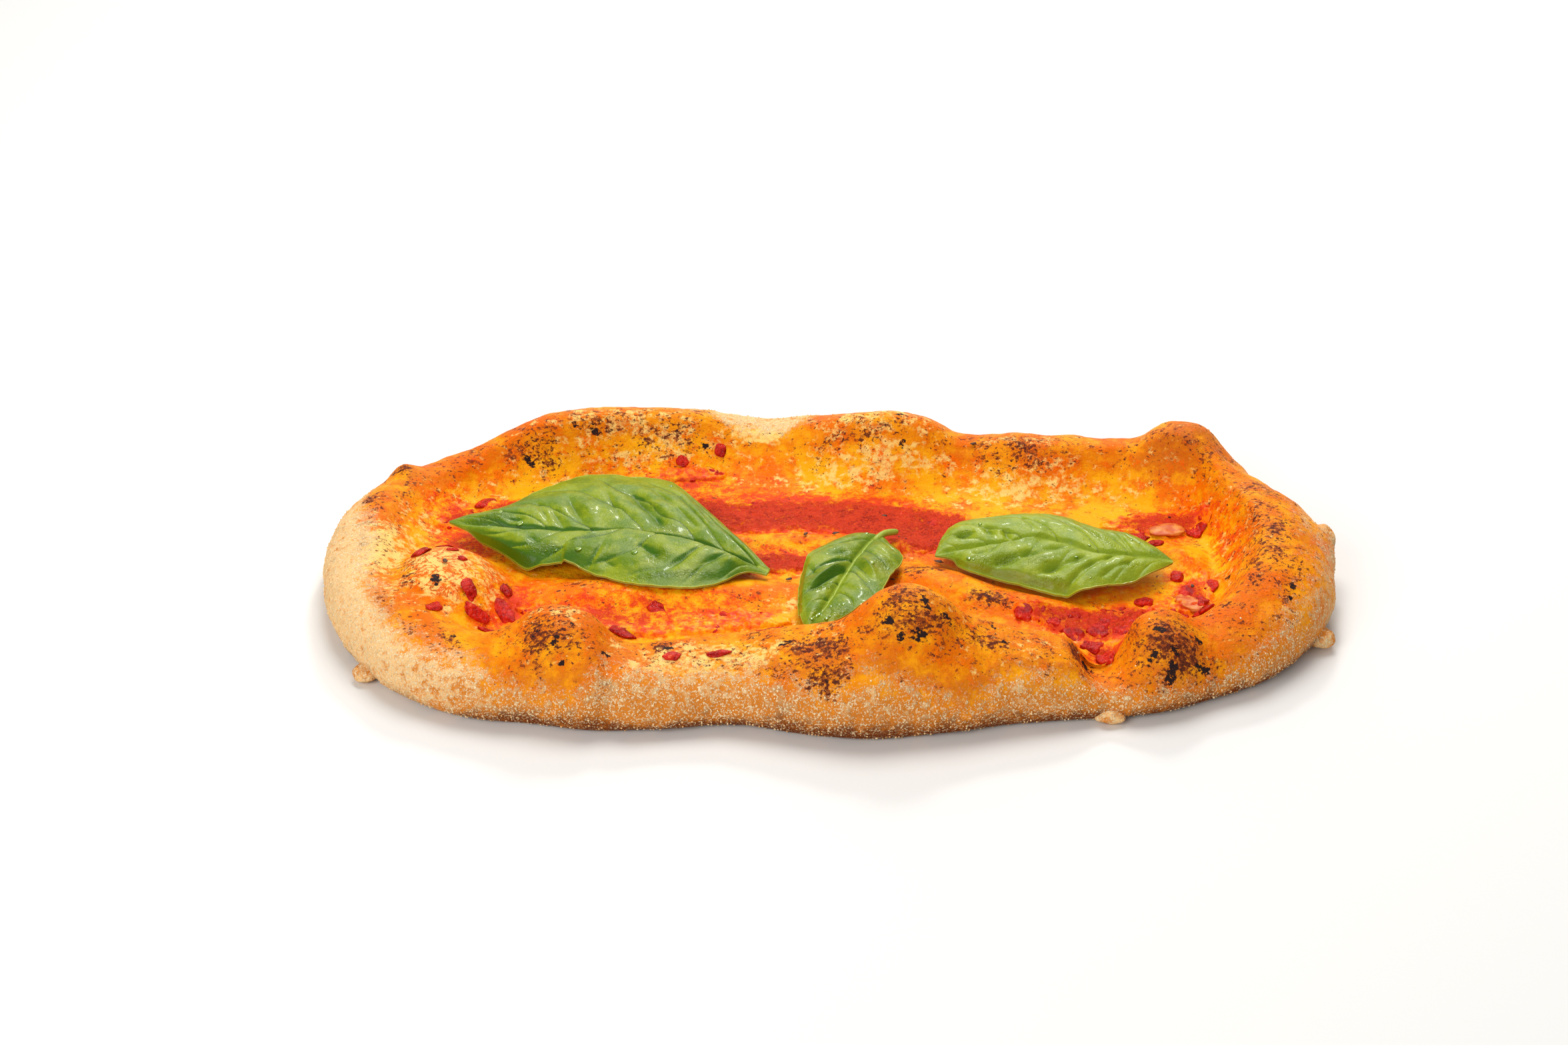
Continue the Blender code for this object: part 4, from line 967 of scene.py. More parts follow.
# darker red of the pulp, also painted as shade in its crevices
SAUCE_DEEP_AND_SHADE = rgb(156, 22, 12)
CRUMB_RED = rgb(226, 40, 16)
SAUCE_SPECK = rgb(90, 30, 16)
CHUNK_DEEP = rgb(156, 2, 0)
CHUNK_RED = rgb(218, 34, 8)
CHUNK_CUT = rgb(244, 110, 54)
HERB_BROWN = rgb(104, 62, 34)
HERB_DARK = rgb(48, 30, 18)
GARLIC_BROWN = rgb(200, 84, 24)
GARLIC_PALE = rgb(222, 138, 58)
GRAIN_TAN = rgb(238, 178, 104)
GRAIN_PALE = rgb(252, 222, 170)
LEAF_GREEN = rgb(102, 130, 0)
LEAF_SAGE = rgb(146, 160, 14)
# painted shade of the leaves, on their front-facing slopes and in their folds
LEAF_PAINTED_SHADE = rgb(50, 98, 0)
LEAF_NET = rgb(66, 104, 6)
LEAF_OILED = rgb(70, 100, 8)
# the veins' own colour, also painted as shade along the folds
LEAF_VEIN_AND_FOLD_SHADE = rgb(44, 78, 4)
LEAF_YOUNG = rgb(178, 190, 40)
LEAF_MIDRIB = rgb(176, 192, 72)
LEAF_EDGE = rgb(176, 176, 20)
LEAF_UNDER = rgb(150, 166, 70)
OIL_DEEP = rgb(92, 128, 6)
OIL_GREEN = rgb(132, 158, 22)
FLOOR_WHITE = rgb(236, 234, 230)
# how far red, green and blue light wander in tomato and in garlic, in metres
TOMATO_SCATTER = (0.003, 0.0008, 0.0004)
GARLIC_SCATTER = (0.003, 0.002, 0.001)


class Grit:
    """The noises that the dough and the sauce share, so that one runs into the other without a seam."""

    def __init__(self, f):
        self.cloud = f.noise(18, 2)
        self.mottle = f.noise(5, 4, 0.65)
        self.crackle = f.noise(2.0, 4, 0.68, 0.2, f.stretched((0.85, 1, 1), 4))
        self.fine = f.noise(0.8, 4, 0.75)


def soaked_dough(f, grit):
    """Dough full of oil: bright gold, clouded with orange."""
    cloudy = f.sum((grit.mottle, 0.5), (grit.crackle, 0.2), (grit.cloud, 0.6))
    return f.blend(f.band(cloudy, -0.5, 0.5), SOAKED, SOAKED_DEEP)


def tomato_tint(f, grit, colour):
    """The colour under a stain of tomato: orange where it is thin, then red, then granular pulp with painted
    shade in its crevices and painted highlights on its peaks.
    """
    stain = f.sum(f.mark("stain"), (grit.crackle, 0.5), (grit.mottle, 0.55), (grit.fine, 0.35),
                  (grit.cloud, 0.25))
    colour = f.blend(f.band(stain, 0.1, 0.6, 0, 0.85), colour, STAIN_ORANGE)
    colour = f.blend(f.band(stain, 0.45, 0.95, 0, 0.9), colour, STAIN_RED)
    # darker red where the grit is low: the pulp's own darker tone, and painted shade in the crevices that the
    # bump partly shares
    depth = f.sum((grit.fine, 0.9), (grit.mottle, 0.9))
    pulp = f.blend(f.band(depth, -0.9, 0.3), SAUCE_DEEP_AND_SHADE, SAUCE_RED)
    # painted highlight: lighter orange-red on the peaks of the grit that the bump raises
    light = f.sum((grit.fine, 0.9), (grit.crackle, 0.5))
    pulp = f.blend(f.band(light, 0.25, 0.75, 0, 0.8), pulp, SAUCE_HIGHLIGHT)
    return f.blend(f.band(stain, 0.7, 1.15, 0, 0.95), colour, pulp)


def golden_dough(f, grit):
    """Bare baked dough: gold outside and soaked with oil inside, brown where it is toasted."""
    shade = f.sum((grit.mottle, 0.5), (grit.cloud, 0.5), (grit.crackle, 0.15))
    outside = f.blend(f.band(shade, -0.7, 0.5), GOLD, DEEP_GOLD)
    oily = f.band(f.sum(f.mark("soak"), (grit.cloud, 0.2)), 0.2, 0.8)
    colour = f.blend(oily, outside, soaked_dough(f, grit))
    # the toast mark also carries painted shade low on the front's outer side and painted shadow along the
    # left leaf's front edge
    toast = f.sum(f.mark("toast"), (grit.mottle, 0.4), (grit.crackle, 0.25))
    colour = f.blend(f.band(toast, 0.25, 0.95, 0, 0.85), colour, LIGHT_BROWN)
    return f.blend(f.band(toast, 0.8, 1.4, 0, 0.8), colour, BROWN)


def marbled(f, grit, colour):
    """Pale dough over the colour, clear of the sauce's stains, and a net of orange strands over both."""
    pale = f.sum(f.mark("pale"), (grit.crackle, -0.6), (grit.mottle, 0.5), (grit.fine, -0.15))
    clear = f.band(f.mark("stain"), 0.85, 0.4)
    colour = f.blend(f.times(f.band(pale, 0.3, 0.85, 0, 0.85), clear), colour, MARBLE)
    strand = f.sum(f.maths("ABSOLUTE", f.noise(4.2, 4, 0.6, 0.5)), (grit.fine, 0.06))
    netted = f.band(f.sum(f.mark("net"), (grit.mottle, 0.3)), 0.2, 0.7)
    return f.blend(f.times(f.band(strand, 0.2, 0.03), netted), colour, NET_ORANGE)


def flour_powder(f, grit, clumps, grains):
    """Flour on dough: tan to cream grains, scorched near the foot."""
    pale = f.sum(f.mark("powder"), (clumps, 0.85), (grit.mottle, 0.45))
    powder = f.blend(f.band(pale, 0.1, 0.95), TAN, PALE_TAN)
    scorch = f.sum(f.mark("scorch"), (grit.mottle, 0.4), (clumps, 0.35), (grit.cloud, 0.25))
    powder = f.blend(f.band(scorch, 0.0, 1.0, 0, 0.95), powder, TOASTED_TAN)
    thick = f.sum(f.band(scorch, 1.2, 0.1, 0.4, 0.95), (clumps, 0.8))
    return f.blend(f.times(grains, f.band(thick, 0.0, 1.0, 0.1, 0.82)), powder, CREAM)


def charred(f, grit, colour):
    """Toasted specks, char and burnt spots over the colour; returns how black and how charred it is too."""
    streak = f.noise(1.0, 3, 0.62, 0.2, f.stretched((0.8, 1, 1), 6))
    fleck = f.noise(1.25, 3, 0.62, 0.3, f.stretched((0.75, 1, 1), -5))
    island = f.noise(2.0, 5, 0.72, 0.2, f.stretched((0.8, 1, 1), 6))
    cluster = f.noise(7, 2, 0.5)
    # the char mark also carries painted shadow along the left leaf's front edge
    mark = f.mark("char")
    char = f.sum((mark, 0.8), (streak, 0.75), (island, 0.35), (cluster, 0.25))
    specks = f.sum((mark, 0.75), (fleck, 0.9), (island, 0.3), (grit.mottle, 0.25), (cluster, 0.25), -0.24)
    colour = f.blend(f.band(specks, 0.38, 0.52, 0, 0.82), colour, RUST)
    pepper = f.sum((mark, 0.55), (f.noise(0.6, 2, 0.6), 0.6), (cluster, 0.3), (grit.mottle, 0.2), -0.22)
    colour = f.blend(f.band(pepper, 0.3, 0.46, 0, 0.6), colour, RUST)
    colour = f.blend(f.band(char, 0.35, 0.85, 0, 0.42), colour, BROWN)
    colour = f.blend(f.band(char, 0.72, 0.82, 0, 0.88), colour, DARK_BROWN)
    burnt = f.sum((f.mark("burnt"), 1.9), (streak, 0.55), (island, 0.72), (fleck, 0.25), -0.92)
    colour = f.blend(f.band(burnt, 0.35, 0.75, 0, 0.75), colour, DARK_BROWN)
    black = f.maths("MAXIMUM", f.band(burnt, 0.66, 0.78), f.band(char, 1.2, 1.34))
    return f.blend(black, colour, BLACK), black, char


def crust_finish():
    """Baked dough: gold, floured outside, soaked with oil inside, and toasted, charred and stained."""
    f = Finish("crust_dough", IOR=1.45, Specular_IOR_Level=0.07)
    grit = Grit(f)
    clumps = f.noise(2.6, 4, 0.7)
    grains = f.maths("MAXIMUM", f.dots(0.6, 0.4, 0.42), f.band(f.noise(0.62, 2, 0.6), 0.12, 0.5))
    flour = f.sum(f.mark("flour"), (grit.mottle, 0.22), (clumps, 0.2), (grains, 0.12))
    flour = f.band(flour, 0.28, 0.82)
    colour = marbled(f, grit, tomato_tint(f, grit, golden_dough(f, grit)))
    colour = f.blend(flour, colour, flour_powder(f, grit, clumps, grains))
    colour, black, char = charred(f, grit, colour)
    f.set("Base Color", colour)
    oily = f.band(f.mark("soak"), 0.2, 0.9, 0.5, 0.34)
    f.set("Roughness", f.sum(oily, (grit.mottle, 0.08), (flour, 0.4)))
    coarse = f.sum((grit.mottle, 0.5), (grit.crackle, 0.25), (f.times(clumps, flour), 0.7))
    fine = f.sum((grit.fine, 0.35), (f.times(grains, flour), 0.8))
    relief = f.bump(fine, 0.12, f.bump(coarse, 0.38))
    f.set("Normal", f.bump(f.maths("MAXIMUM", black, f.band(char, 0.7, 0.9)), 0.14, relief))
    return f.material


def sauce_finish():
    """Cooked tomato: granular red, thinning out to the orange of the soaked dough, damp."""
    f = Finish("tomato_sauce_granular", IOR=1.4, Specular_IOR_Level=0.16)
    grit = Grit(f)
    colour = tomato_tint(f, grit, soaked_dough(f, grit))
    thick = f.band(f.mark("stain"), 0.6, 1.0)
    crumb = f.band(f.sum(f.mark("crumb"), (grit.fine, 0.3)), 0.3, 1.0, 0, 0.6)
    colour = f.blend(f.times(crumb, thick), colour, CRUMB_RED)
    f.set("Base Color", f.blend(f.dots(4.6, 0.18, 0.14), colour, SAUCE_SPECK))
    f.set("Roughness", f.band(grit.crackle, -0.8, 0.8, 0.28, 0.55))
    f.set("Normal", f.bump(f.times(f.sum((grit.fine, 0.7), (grit.crackle, 0.7)), thick), 0.26))
    return f.material


def chunk_finish():
    """Wet pieces of tomato: clear red, lighter on the cut sides."""
    f = Finish("tomato_chunk", IOR=1.4, Specular_IOR_Level=0.28, Subsurface_Weight=0.06,
               Subsurface_Radius=TOMATO_SCATTER)
    vein = f.noise(1.6, 4, 0.65)
    piece = f.noise(5, 2, 0.5)
    red = f.blend(f.band(f.sum(vein, (piece, 0.6)), -0.8, 0.7), CHUNK_DEEP, CHUNK_RED)
    f.set("Base Color", f.blend(f.band(f.sum(vein, (piece, 0.5)), 0.5, 1.2, 0, 0.8), red, CHUNK_CUT))
    f.set("Roughness", f.band(vein, -0.6, 0.6, 0.1, 0.34))
    f.set("Normal", f.bump(vein, 0.25))
    return f.material


def mottled_finish(name, size, reach, first, second, **sockets):
    """A plain finish that runs from one colour to another by a noise of one size, from -0.5 to reach."""
    f = Finish(name, **sockets)
    f.set("Base Color", f.blend(f.band(f.noise(size), -0.5, reach), first, second))
    return f.material


def basil_finish():
    """Fresh leaf: sage green, with painted shade of deep green on its front-facing slopes and in its folds, a
    net of fine veins, and oiled in places.
    """
    f = Finish("basil_leaf", IOR=1.45, Specular_IOR_Level=0.26, Coat_Weight=0.12, Coat_Roughness=0.1)
    cloud = f.noise(9, 3)
    fine = f.noise(1.2, 3, 0.6)
    net = f.maths("MINIMUM", f.cracks(2.6, 0.12), f.cracks(1.2, 0.2))
    oil = f.mark("oil")
    # painted shade: deep green on the leaf's front-facing slopes and in its folds
    front_and_fold_shade = f.sum(f.mark("front_and_fold_shade"), (cloud, 0.15), (fine, 0.1))
    green = f.blend(f.band(f.sum((cloud, 0.8), (fine, 0.25)), -0.5, 0.5), LEAF_GREEN, LEAF_SAGE)
    layers = (
        (f.band(front_and_fold_shade, 0.05, 0.8, 0, 0.95), LEAF_PAINTED_SHADE),
        (f.maths("MULTIPLY_ADD", net, -0.22, 0.22), LEAF_NET),
        (f.times(oil, 0.45), LEAF_OILED),
        # the vein mark also carries painted shade along the folds
        (f.band(f.mark("vein"), 0.25, 0.9, 0, 0.65), LEAF_VEIN_AND_FOLD_SHADE),
        (f.times(f.mark("young"), 0.4), LEAF_YOUNG),
        (f.band(f.mark("midrib"), 0.2, 0.9, 0, 0.62), LEAF_MIDRIB),
        (f.band(f.mark("edge"), 0.3, 1.0, 0, 0.85), LEAF_EDGE),
        (f.mark("under"), LEAF_UNDER),
    )
    for amount, shade in layers:
        green = f.blend(amount, green, shade)
    f.set("Base Color", green)
    relief = f.bump(f.sum((fine, 0.25), (f.noise(3.2, 3), 0.5), (net, 0.3)), 0.12)
    f.set("Normal", f.bump(f.times(oil, f.noise(1.1, 3)), 0.22, relief))
    f.set("Roughness", f.band(f.sum(oil, (cloud, 0.25), (fine, 0.1)), 0.1, 0.6, 0.42, 0.05))
    return f.material


# ---- the crust -----------------------------------------------------------------------------------
def sleeve_rows():
    """Sleeve parameters of the rows, packed evenly within each of the four stretches."""
    stretches = [start + np.arange(count) / count for start, count in enumerate(ROWS_OF)]
    return np.concatenate([*stretches, [4.0]])


def stain_at(x, y, sauce_map):
    """How strongly tomato colours a point in plan: the sauce's map with its halos, and the stained ovals."""
    halo = [strength * read_map(softened(sauce_map, reach), x, y) for reach, strength in SAUCE_HALO]
    return np.maximum(ovals(x, y, STAINED), np.max(halo, axis=0))


def belt_on(rows, strength, middle, width):
    """A belt along the rim: its strength, falling away by a bell across the rows."""
    return strength * bell(rows - middle, width)


def bake_marks(rows, plan_x, plan_y, sauce_map):
    """Named marks of the dough at each of its points: flour, soaked oil, toast and char that also carry
    painted shade and shadow, and sauce stains.
    """
    share = (np.arange(STEPS_ROUND) / STEPS_ROUND)[:, None]
    rows = rows[None, :]
    line = np.array(FLOUR_LINE)
    flour_row = np.interp(share, line[:, 0], line[:, 1], period=1)
    in_front = stretch_of(share, *FRONT_STRETCH)
    on_left = stretch_of(share, *LEFT_STRETCH)
    start, rise, end, fall = RIGHT_STRETCH
    at_right = np.maximum(rising(share, start, rise), 1 - rising(share, end, fall))
    baked = rising(rows, *BAKED_ROWS)
    # browning and painted shade on the front's outer side, just above the flour
    belt = belt_on(rows - flour_row, *BROWNED_AND_SHADED_BELT) * in_front
    crest = belt_on(rows, *CREST_SPECKS) * (1 - smooth_step((flour_row - rows) / CREST_CLEARANCE))
    floured = np.clip(0.5 + (flour_row - rows) * (FLOUR_FADE[0] - FLOUR_FADE[1] * at_right), 0, 1)
    hidden = rising(floured, *BARE_FLOUR)
    all_round, on_the_left, in_the_front, low_in_front = FLOUR_PALENESS
    dull = in_the_front + low_in_front * falling(rows, *DULL_FLOUR_ROWS)
    return {
        "flour": floured,
        "powder": all_round + on_the_left * on_left - in_front * dull,
        "scorch": falling(rows, *SCORCHED_ROWS) * at_least(0.5, in_front),
        "soak": np.broadcast_to(rising(rows, *SOAKED_ROWS), plan_x.shape),
        "toast": np.maximum(ovals(plan_x, plan_y, TOASTED), belt) * baked,
        "char": np.maximum(ovals(plan_x, plan_y, CHARRED), crest) * baked - CHAR_UNDER_FLOUR * hidden,
        "burnt": ovals(plan_x, plan_y, [(*row, 1.0) for row in BURNT], power=4) * baked,
        "pale": np.maximum(ovals(plan_x, plan_y, PALE), belt_on(rows, *PALE_SLOPE)) * baked,
        "net": ovals(plan_x, plan_y, NETTED) * baked,
        "stain": stain_at(plan_x, plan_y, sauce_map) * rising(rows, *STAINED_ROWS),
    }


def build_crust(sauce_map, material):
    """The dough piece; returns its sleeve of points, its floured share and its rows."""
    rows = sleeve_rows()
    points = dough_form(STEPS_ROUND, rows)
    plan = shifted(points)
    marks = bake_marks(rows, plan[..., 0], plan[..., 1], sauce_map)
    points = shifted(with_relief(points, rows))
    used, quads = sleeve_cells(*points.shape[:2])
    flat = points.reshape(-1, 3)[used]
    marks_used = {name: values.ravel()[used] for name, values in marks.items()}
    crust = new_piece("crust_dough", flat, facing_out(flat, quads), material, "crust", marks_used)
    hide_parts("crust")
    return points, marks["flour"], rows


def build_tabs(material):
    """Torn tabs and the knob of dough, half inside the rim, floured like the outer side."""
    rows = np.array(DOUGH_TABS)
    ball, triangles = lump_body(24, 36)
    points, faces = lumps(ball, triangles, shifted(rows[:, :3]), rows[:, 3:6], np.zeros(len(rows)),
                          rough=0.25, seed=33)
    even = np.ones(len(points))
    new_piece("dough_tabs", points, faces, material, "crust", {"flour": even, "powder": TAB_POWDER * even})


# ---- laying the toppings -------------------------------------------------------------------------
def strip_plan(rows, place, side):
    """Plan points of a strip: its middle line by Catmull-Rom, its sides square to that, side from -1 to 1."""
    values = through_points(rows, place, closed=False)
    heading = np.gradient(values[:, :2], axis=0)
    heading /= np.linalg.norm(heading, axis=1)[:, None]
    half = np.where(side[None, :] > 0, values[:, 3:4], values[:, 2:3])
    x = values[:, 0:1] - heading[:, 1:2] * side * half
    y = values[:, 1:2] + heading[:, 0:1] * side * half
    return x + CENTRE_SHIFT[0], y + CENTRE_SHIFT[1]


def patch_length(rows):
    """Length of a patch along its stations."""
    return np.sum(np.hypot(*np.diff(rows[:, :2], axis=0).T))


def sauce_plan(stations):
    """Plan points of a patch and how thick it lies there: 1 well inside, 0 past its edge, ragged by noise."""
    rows = np.array(stations, dtype=float)
    width = rows[:, 2:4].sum(axis=1).max()
    side = np.linspace(-SAUCE_REACH, SAUCE_REACH, int(width * SAUCE_REACH / SAUCE_CELL) + 3)
    place = np.linspace(0, len(rows) - 1, int(patch_length(rows) / SAUCE_CELL))
    x, y = strip_plan(rows, place, side)
    ends = np.minimum(place, place[-1] - place)[:, None] / SAUCE_TAPER
    near_edge = np.maximum(np.abs(side)[None, :], 1 - ends) + layered_noise(x, y, SAUCE_RAGGED)
    inside = falling(np.abs(side), SAUCE_REACH, SAUCE_HEM)[None, :]
    return x, y, (1 - rising(near_edge, *SAUCE_EDGE)) * inside


def sauce_cover():
    """Plan map of how red the sauce makes what it lies on, from all its patches."""
    covers = []
    for patch in SAUCE_PATCHES:
        x, y, cover = sauce_plan(patch[1:])
        covers.append(plan_map(x, y, cover * SAUCE_STRENGTH[patch[0]][0]))
    return softened(np.max(covers, axis=0), MAP_CELL)


def build_sauce(name, stations, sauce_map, ground, material):
    """A patch of sauce: the dough's height, plus its thickness and grit, its edge dipping below the dough."""
    x, y, cover = sauce_plan(stations)
    grit = layered_noise(x, y, SAUCE_GRIT)
    crumbly = at_least(LEAST_RELIEF, min(SAUCE_STRENGTH[name][1] / CRUMB_DENSITY, 1))
    crumbs = crumbly * rising(layered_noise(x, y, SAUCE_CRUMBS), *CRUMB_EDGE)
    z = read_map(ground, x, y) - SAUCE_SINK + (SAUCE_LIFT + SAUCE_SINK) * cover
    z = z + grit * at_least(LEAST_RELIEF, cover) + CRUMB_HEIGHT * crumbs * cover
    points, quads = closed_sheet(np.stack([x, y, z], axis=-1), SAUCE_BODY)
    marks = {"stain": np.tile(stain_at(x, y, sauce_map).ravel(), 2), "crumb": np.tile(crumbs.ravel(), 2)}
    piece = new_piece(name + "_patch", points, facing_out(points, quads), material, "tomato_sauce", marks)
    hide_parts(name)


def closed_rings(rings, spokes):
    """Rings of points whose first and last ring are each one point: the points used, and the triangles."""
    index = np.arange(rings * spokes).reshape(rings, spokes)
    index[0] = index[0, 0]
    index[-1] = index[-1, 0]
    used, index = np.unique(index, return_inverse=True)
    index = index.reshape(rings, spokes)
    after = np.roll(index, -1, axis=1)
    quads = np.stack([index[:-1], index[1:], after[1:], after[:-1]], axis=-1).reshape(-1, 4)
    return used, cut_in_triangles(quads)


def lump_body(rings, spokes):
    """Points and triangles of a unit ball, as rings from pole to pole."""
    tilt = np.linspace(0, math.pi, rings + 1)
    turn = 2 * math.pi * np.arange(spokes) / spokes
    ball = np.stack([
        np.sin(tilt)[:, None] * np.cos(turn), np.sin(tilt)[:, None] * np.sin(turn),
        np.cos(tilt)[:, None] + 0 * turn], axis=-1)
    used, triangles = closed_rings(rings + 1, spokes)
    return ball.reshape(-1, 3)[used], triangles


def lumps(ball, triangles, centres, radii, turns, rough, seed):
    """Many lumps as one mesh: for each, the ball roughened by noise, stretched, turned and moved."""
    count = len(centres)
    apart = LUMP_SPREAD * np.arange(count)[:, None, None]
    swell = 1 + rough * gradient_noise(ball[None] + apart, LUMP_NOISE, seed)
    own = ball[None] * swell[..., None]
    own = own * radii[:, None]
    cos = np.cos(turns)[:, None]
    sin = np.sin(turns)[:, None]
    x = own[..., 0] * cos - own[..., 1] * sin
    y = own[..., 0] * sin + own[..., 1] * cos
    points = np.stack([x, y, own[..., 2]], axis=-1) + centres[:, None]
    faces = triangles[None] + (np.arange(count) * len(ball))[:, None, None]
    return points.reshape(-1, 3), faces.reshape(-1, 3)


def lump_piece(name, cells, centres, radii, turns, material, slot, rough, seed, **more):
    """A piece made of many lumps, each a ball of so many rings and spokes."""
    points, faces = lumps(*lump_body(*cells), centres, radii, turns, rough, seed)
    return new_piece(name, points, faces, material, slot, **more)


def laid_on(ground, spots, lift):
    """Spots in plan with their height: the ground's, plus a lift."""
    return np.column_stack([spots, read_map(ground, spots[:, 0], spots[:, 1]) + lift])


def random_sizes(draw, count, least, power, spread, smallest):
    """Random radii, many small and few large: a random share from least to 1, to a power, times spread."""
    return draw.uniform(least, 1.0, count) ** power * spread + smallest


def build_chunks(ground, material):
    """The large chunks of tomato: roughened balls, flattened and half sunk, bent over the dough."""
    rows = np.array(CHUNKS, dtype=float)
    ball, triangles = lump_body(20, 32)
    radii = rows[:, [2, 3, 5]] * np.array(CHUNK_SHARES)
    centres = np.column_stack([rows[:, 0], rows[:, 1], 0 * rows[:, 0]])
    points, faces = lumps(ball, triangles, centres, radii, np.radians(rows[:, 4]), rough=0.4, seed=31)
    points[:, 2] += read_map(ground, points[:, 0], points[:, 1]) + CHUNK_LIFT
    new_piece("tomato_chunks", points, faces, material, "tomato_sauce")


def pulp_spots(draw):
    """Random spots in the sauce patches, as many in each as its area and its own density ask."""
    spots = []
    for patch in SAUCE_PATCHES:
        rows = np.array(patch[1:], dtype=float)
        area = patch_length(rows) * rows[:, 2:4].sum(axis=1).mean()
        count = int(area * SAUCE_STRENGTH[patch[0]][1])
        place = draw.uniform(PULP_END, len(rows) - 1 - PULP_END, count)
        values = through_points(rows, place, closed=False)
        side = draw.uniform(-PULP_SIDE, PULP_SIDE, count)
        half = np.where(side > 0, values[:, 3], values[:, 2])
        spots.append(np.column_stack([values[:, 0], values[:, 1] + side * half]))
    return np.concatenate(spots) + np.array(CENTRE_SHIFT)


def build_pulp(ground, material):
    """Small bits of tomato, half sunk in the sauce."""
    draw = np.random.default_rng(41)
    spots = pulp_spots(draw)
    count = len(spots)
    size = random_sizes(draw, count, *PULP_SIZES)
    centres = laid_on(ground, spots, SAUCE_LIFT)
    centres[:, 2] = centres[:, 2] - PULP_SINK[0] - PULP_SINK[1] * size
    long = size * draw.uniform(*PULP_STRETCH, count)
    radii = np.column_stack([long, size, size * draw.uniform(*PULP_FLATNESS, count)])
    turns = draw.uniform(0, math.pi, count)
    lump_piece("tomato_pulp", (6, 9), centres, radii, turns, material, "tomato_sauce", rough=0.4, seed=42)


def build_garlic(ground, material):
    """Two slices of garlic: a ball squared into a flat slice, roughened, and bent over the dough under it."""
    ball, triangles = lump_body(14, 24)
    squared = np.sign(ball) * np.abs(ball) ** np.array(GARLIC_SQUARENESS)
    for number, (node, x, y, along, across, turn, height) in enumerate(GARLIC_SLICES):
        radii = np.array([[along, across, GARLIC_SHARE * height]])
        points, faces = lumps(squared, triangles, np.zeros((1, 3)), radii, np.radians([turn]),
                              rough=0.22, seed=51 + number)
        lift = GARLIC_LIFT[0] * height + GARLIC_LIFT[1]
        points = points + np.array([x + CENTRE_SHIFT[0], y + CENTRE_SHIFT[1], lift])
        points[:, 2] += read_map(ground, points[:, 0], points[:, 1])
        piece = new_piece(node + "_cooked", points, faces, material, "garlic")
        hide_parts(node)


def build_herbs(ground, material):
    """Flakes of dried herb: flat, crumpled and pointed at both ends."""
    rows = np.array(HERB_FLAKES, dtype=float)
    centres = laid_on(ground, rows[:, :2], SAUCE_LIFT)
    thick = np.full(len(rows), HERB_HALF_THICKNESS)
    radii = np.column_stack([rows[:, 2] / HERB_SLIMNESS[0], rows[:, 2] / HERB_SLIMNESS[1], thick])
    lump_piece("herb_flakes", (4, 6), centres, radii, np.radians(rows[:, 3]), material, "basil",
               rough=0.8, seed=61, smooth=False)


def build_grains(points, flour, rows, material):
    """Grains of semolina on the floured outer side: small lumps set on random cells of the sleeve."""
    draw = np.random.default_rng(71)
    step = draw.integers(0, len(points), GRAIN_TRIES)
    place = np.searchsorted(rows, draw.uniform(*GRAIN_ROWS, GRAIN_TRIES))
    chance = rising(flour[step, place], *GRAIN_FLOUR) * GRAIN_CHANCE[0] + GRAIN_CHANCE[1]
    kept = draw.uniform(size=GRAIN_TRIES) < chance
    centres = points[step[kept], place[kept]]
    count = len(centres)
    size = draw.uniform(*GRAIN_SIZES, count)
    radii = size[:, None] * draw.uniform(*GRAIN_STRETCH, (count, 3))
    turns = draw.uniform(0, math.pi, count)
    lump_piece("semolina_grains", (3, 5), centres, radii, turns, material, "crust", rough=0.2, seed=72)


# ---- basil ---------------------------------------------------------------------------------------
def crease(distance, width):
    """1 on a line and falling away from it like a sharp fold with rounded shoulders."""
    return 0.5 * bell(distance, width) + 0.5 * np.exp(-distance / (0.6 * width))


def line_distance(x, y, start_x, start_y, end_x, end_y):
    """Distance in plan from each point to a straight line between two ends, and how far along it that is."""
    run_x = end_x - start_x
    run_y = end_y - start_y
    share = ((x - start_x) * run_x + (y - start_y) * run_y) / (run_x ** 2 + run_y ** 2)
    share = np.clip(share, 0, 1)
    return np.hypot(x - start_x - share * run_x, y - start_y - share * run_y), share


def lobe_lift(x, y, share):
    """The folded-up near half of the left leaf: a low step along its fold line, ending at a notch."""
    line = np.array(LOBE_LINE)
    in_front = np.interp(x, line[:, 0], line[:, 1]) - y
    lost, over = LOBE_FALL
    reach = smooth_step(in_front / LOBE_STEP) * (1 - lost * rising(in_front, LOBE_STEP, over))
    return LOBE_RISE * reach * falling(share, LOBE_END, LOBE_NOTCH)


def leaf_rails(stations):
    """The leaf's flat grid: share of its length, side from -1 in front to 1 behind, its plan and height."""
    rows = np.array(stations, dtype=float)
    cells_along, cells_across = LEAF_CELLS
    share = np.linspace(0, 1, cells_along)[:, None] + np.zeros(cells_across)
    side = np.linspace(-1, 1, cells_across)[None, :] + np.zeros((cells_along, 1))
    values = through_points(rows, share[:, 0] * (len(rows) - 1), closed=False)
    midrib = values[:, None, 0:3]
    edge = np.where(side[..., None] > 0, values[:, None, 3:6], values[:, None, 6:9])
    half = np.linalg.norm(edge[..., :2] - midrib[..., :2], axis=-1)
    size, count, start, width = LEAF_TEETH
    teeth = 1 + size * flat_noise(share * count, side, 1, 80) * rising(np.abs(side), start, width)
    out = np.abs(side) * teeth
    plan = midrib[..., :2] + (edge[..., :2] - midrib[..., :2]) * out[..., None] + np.array(CENTRE_SHIFT)
    height = midrib[..., 2] + (edge[..., 2] - midrib[..., 2]) * out ** 2
    return share, side, half, plan[..., 0], plan[..., 1], height


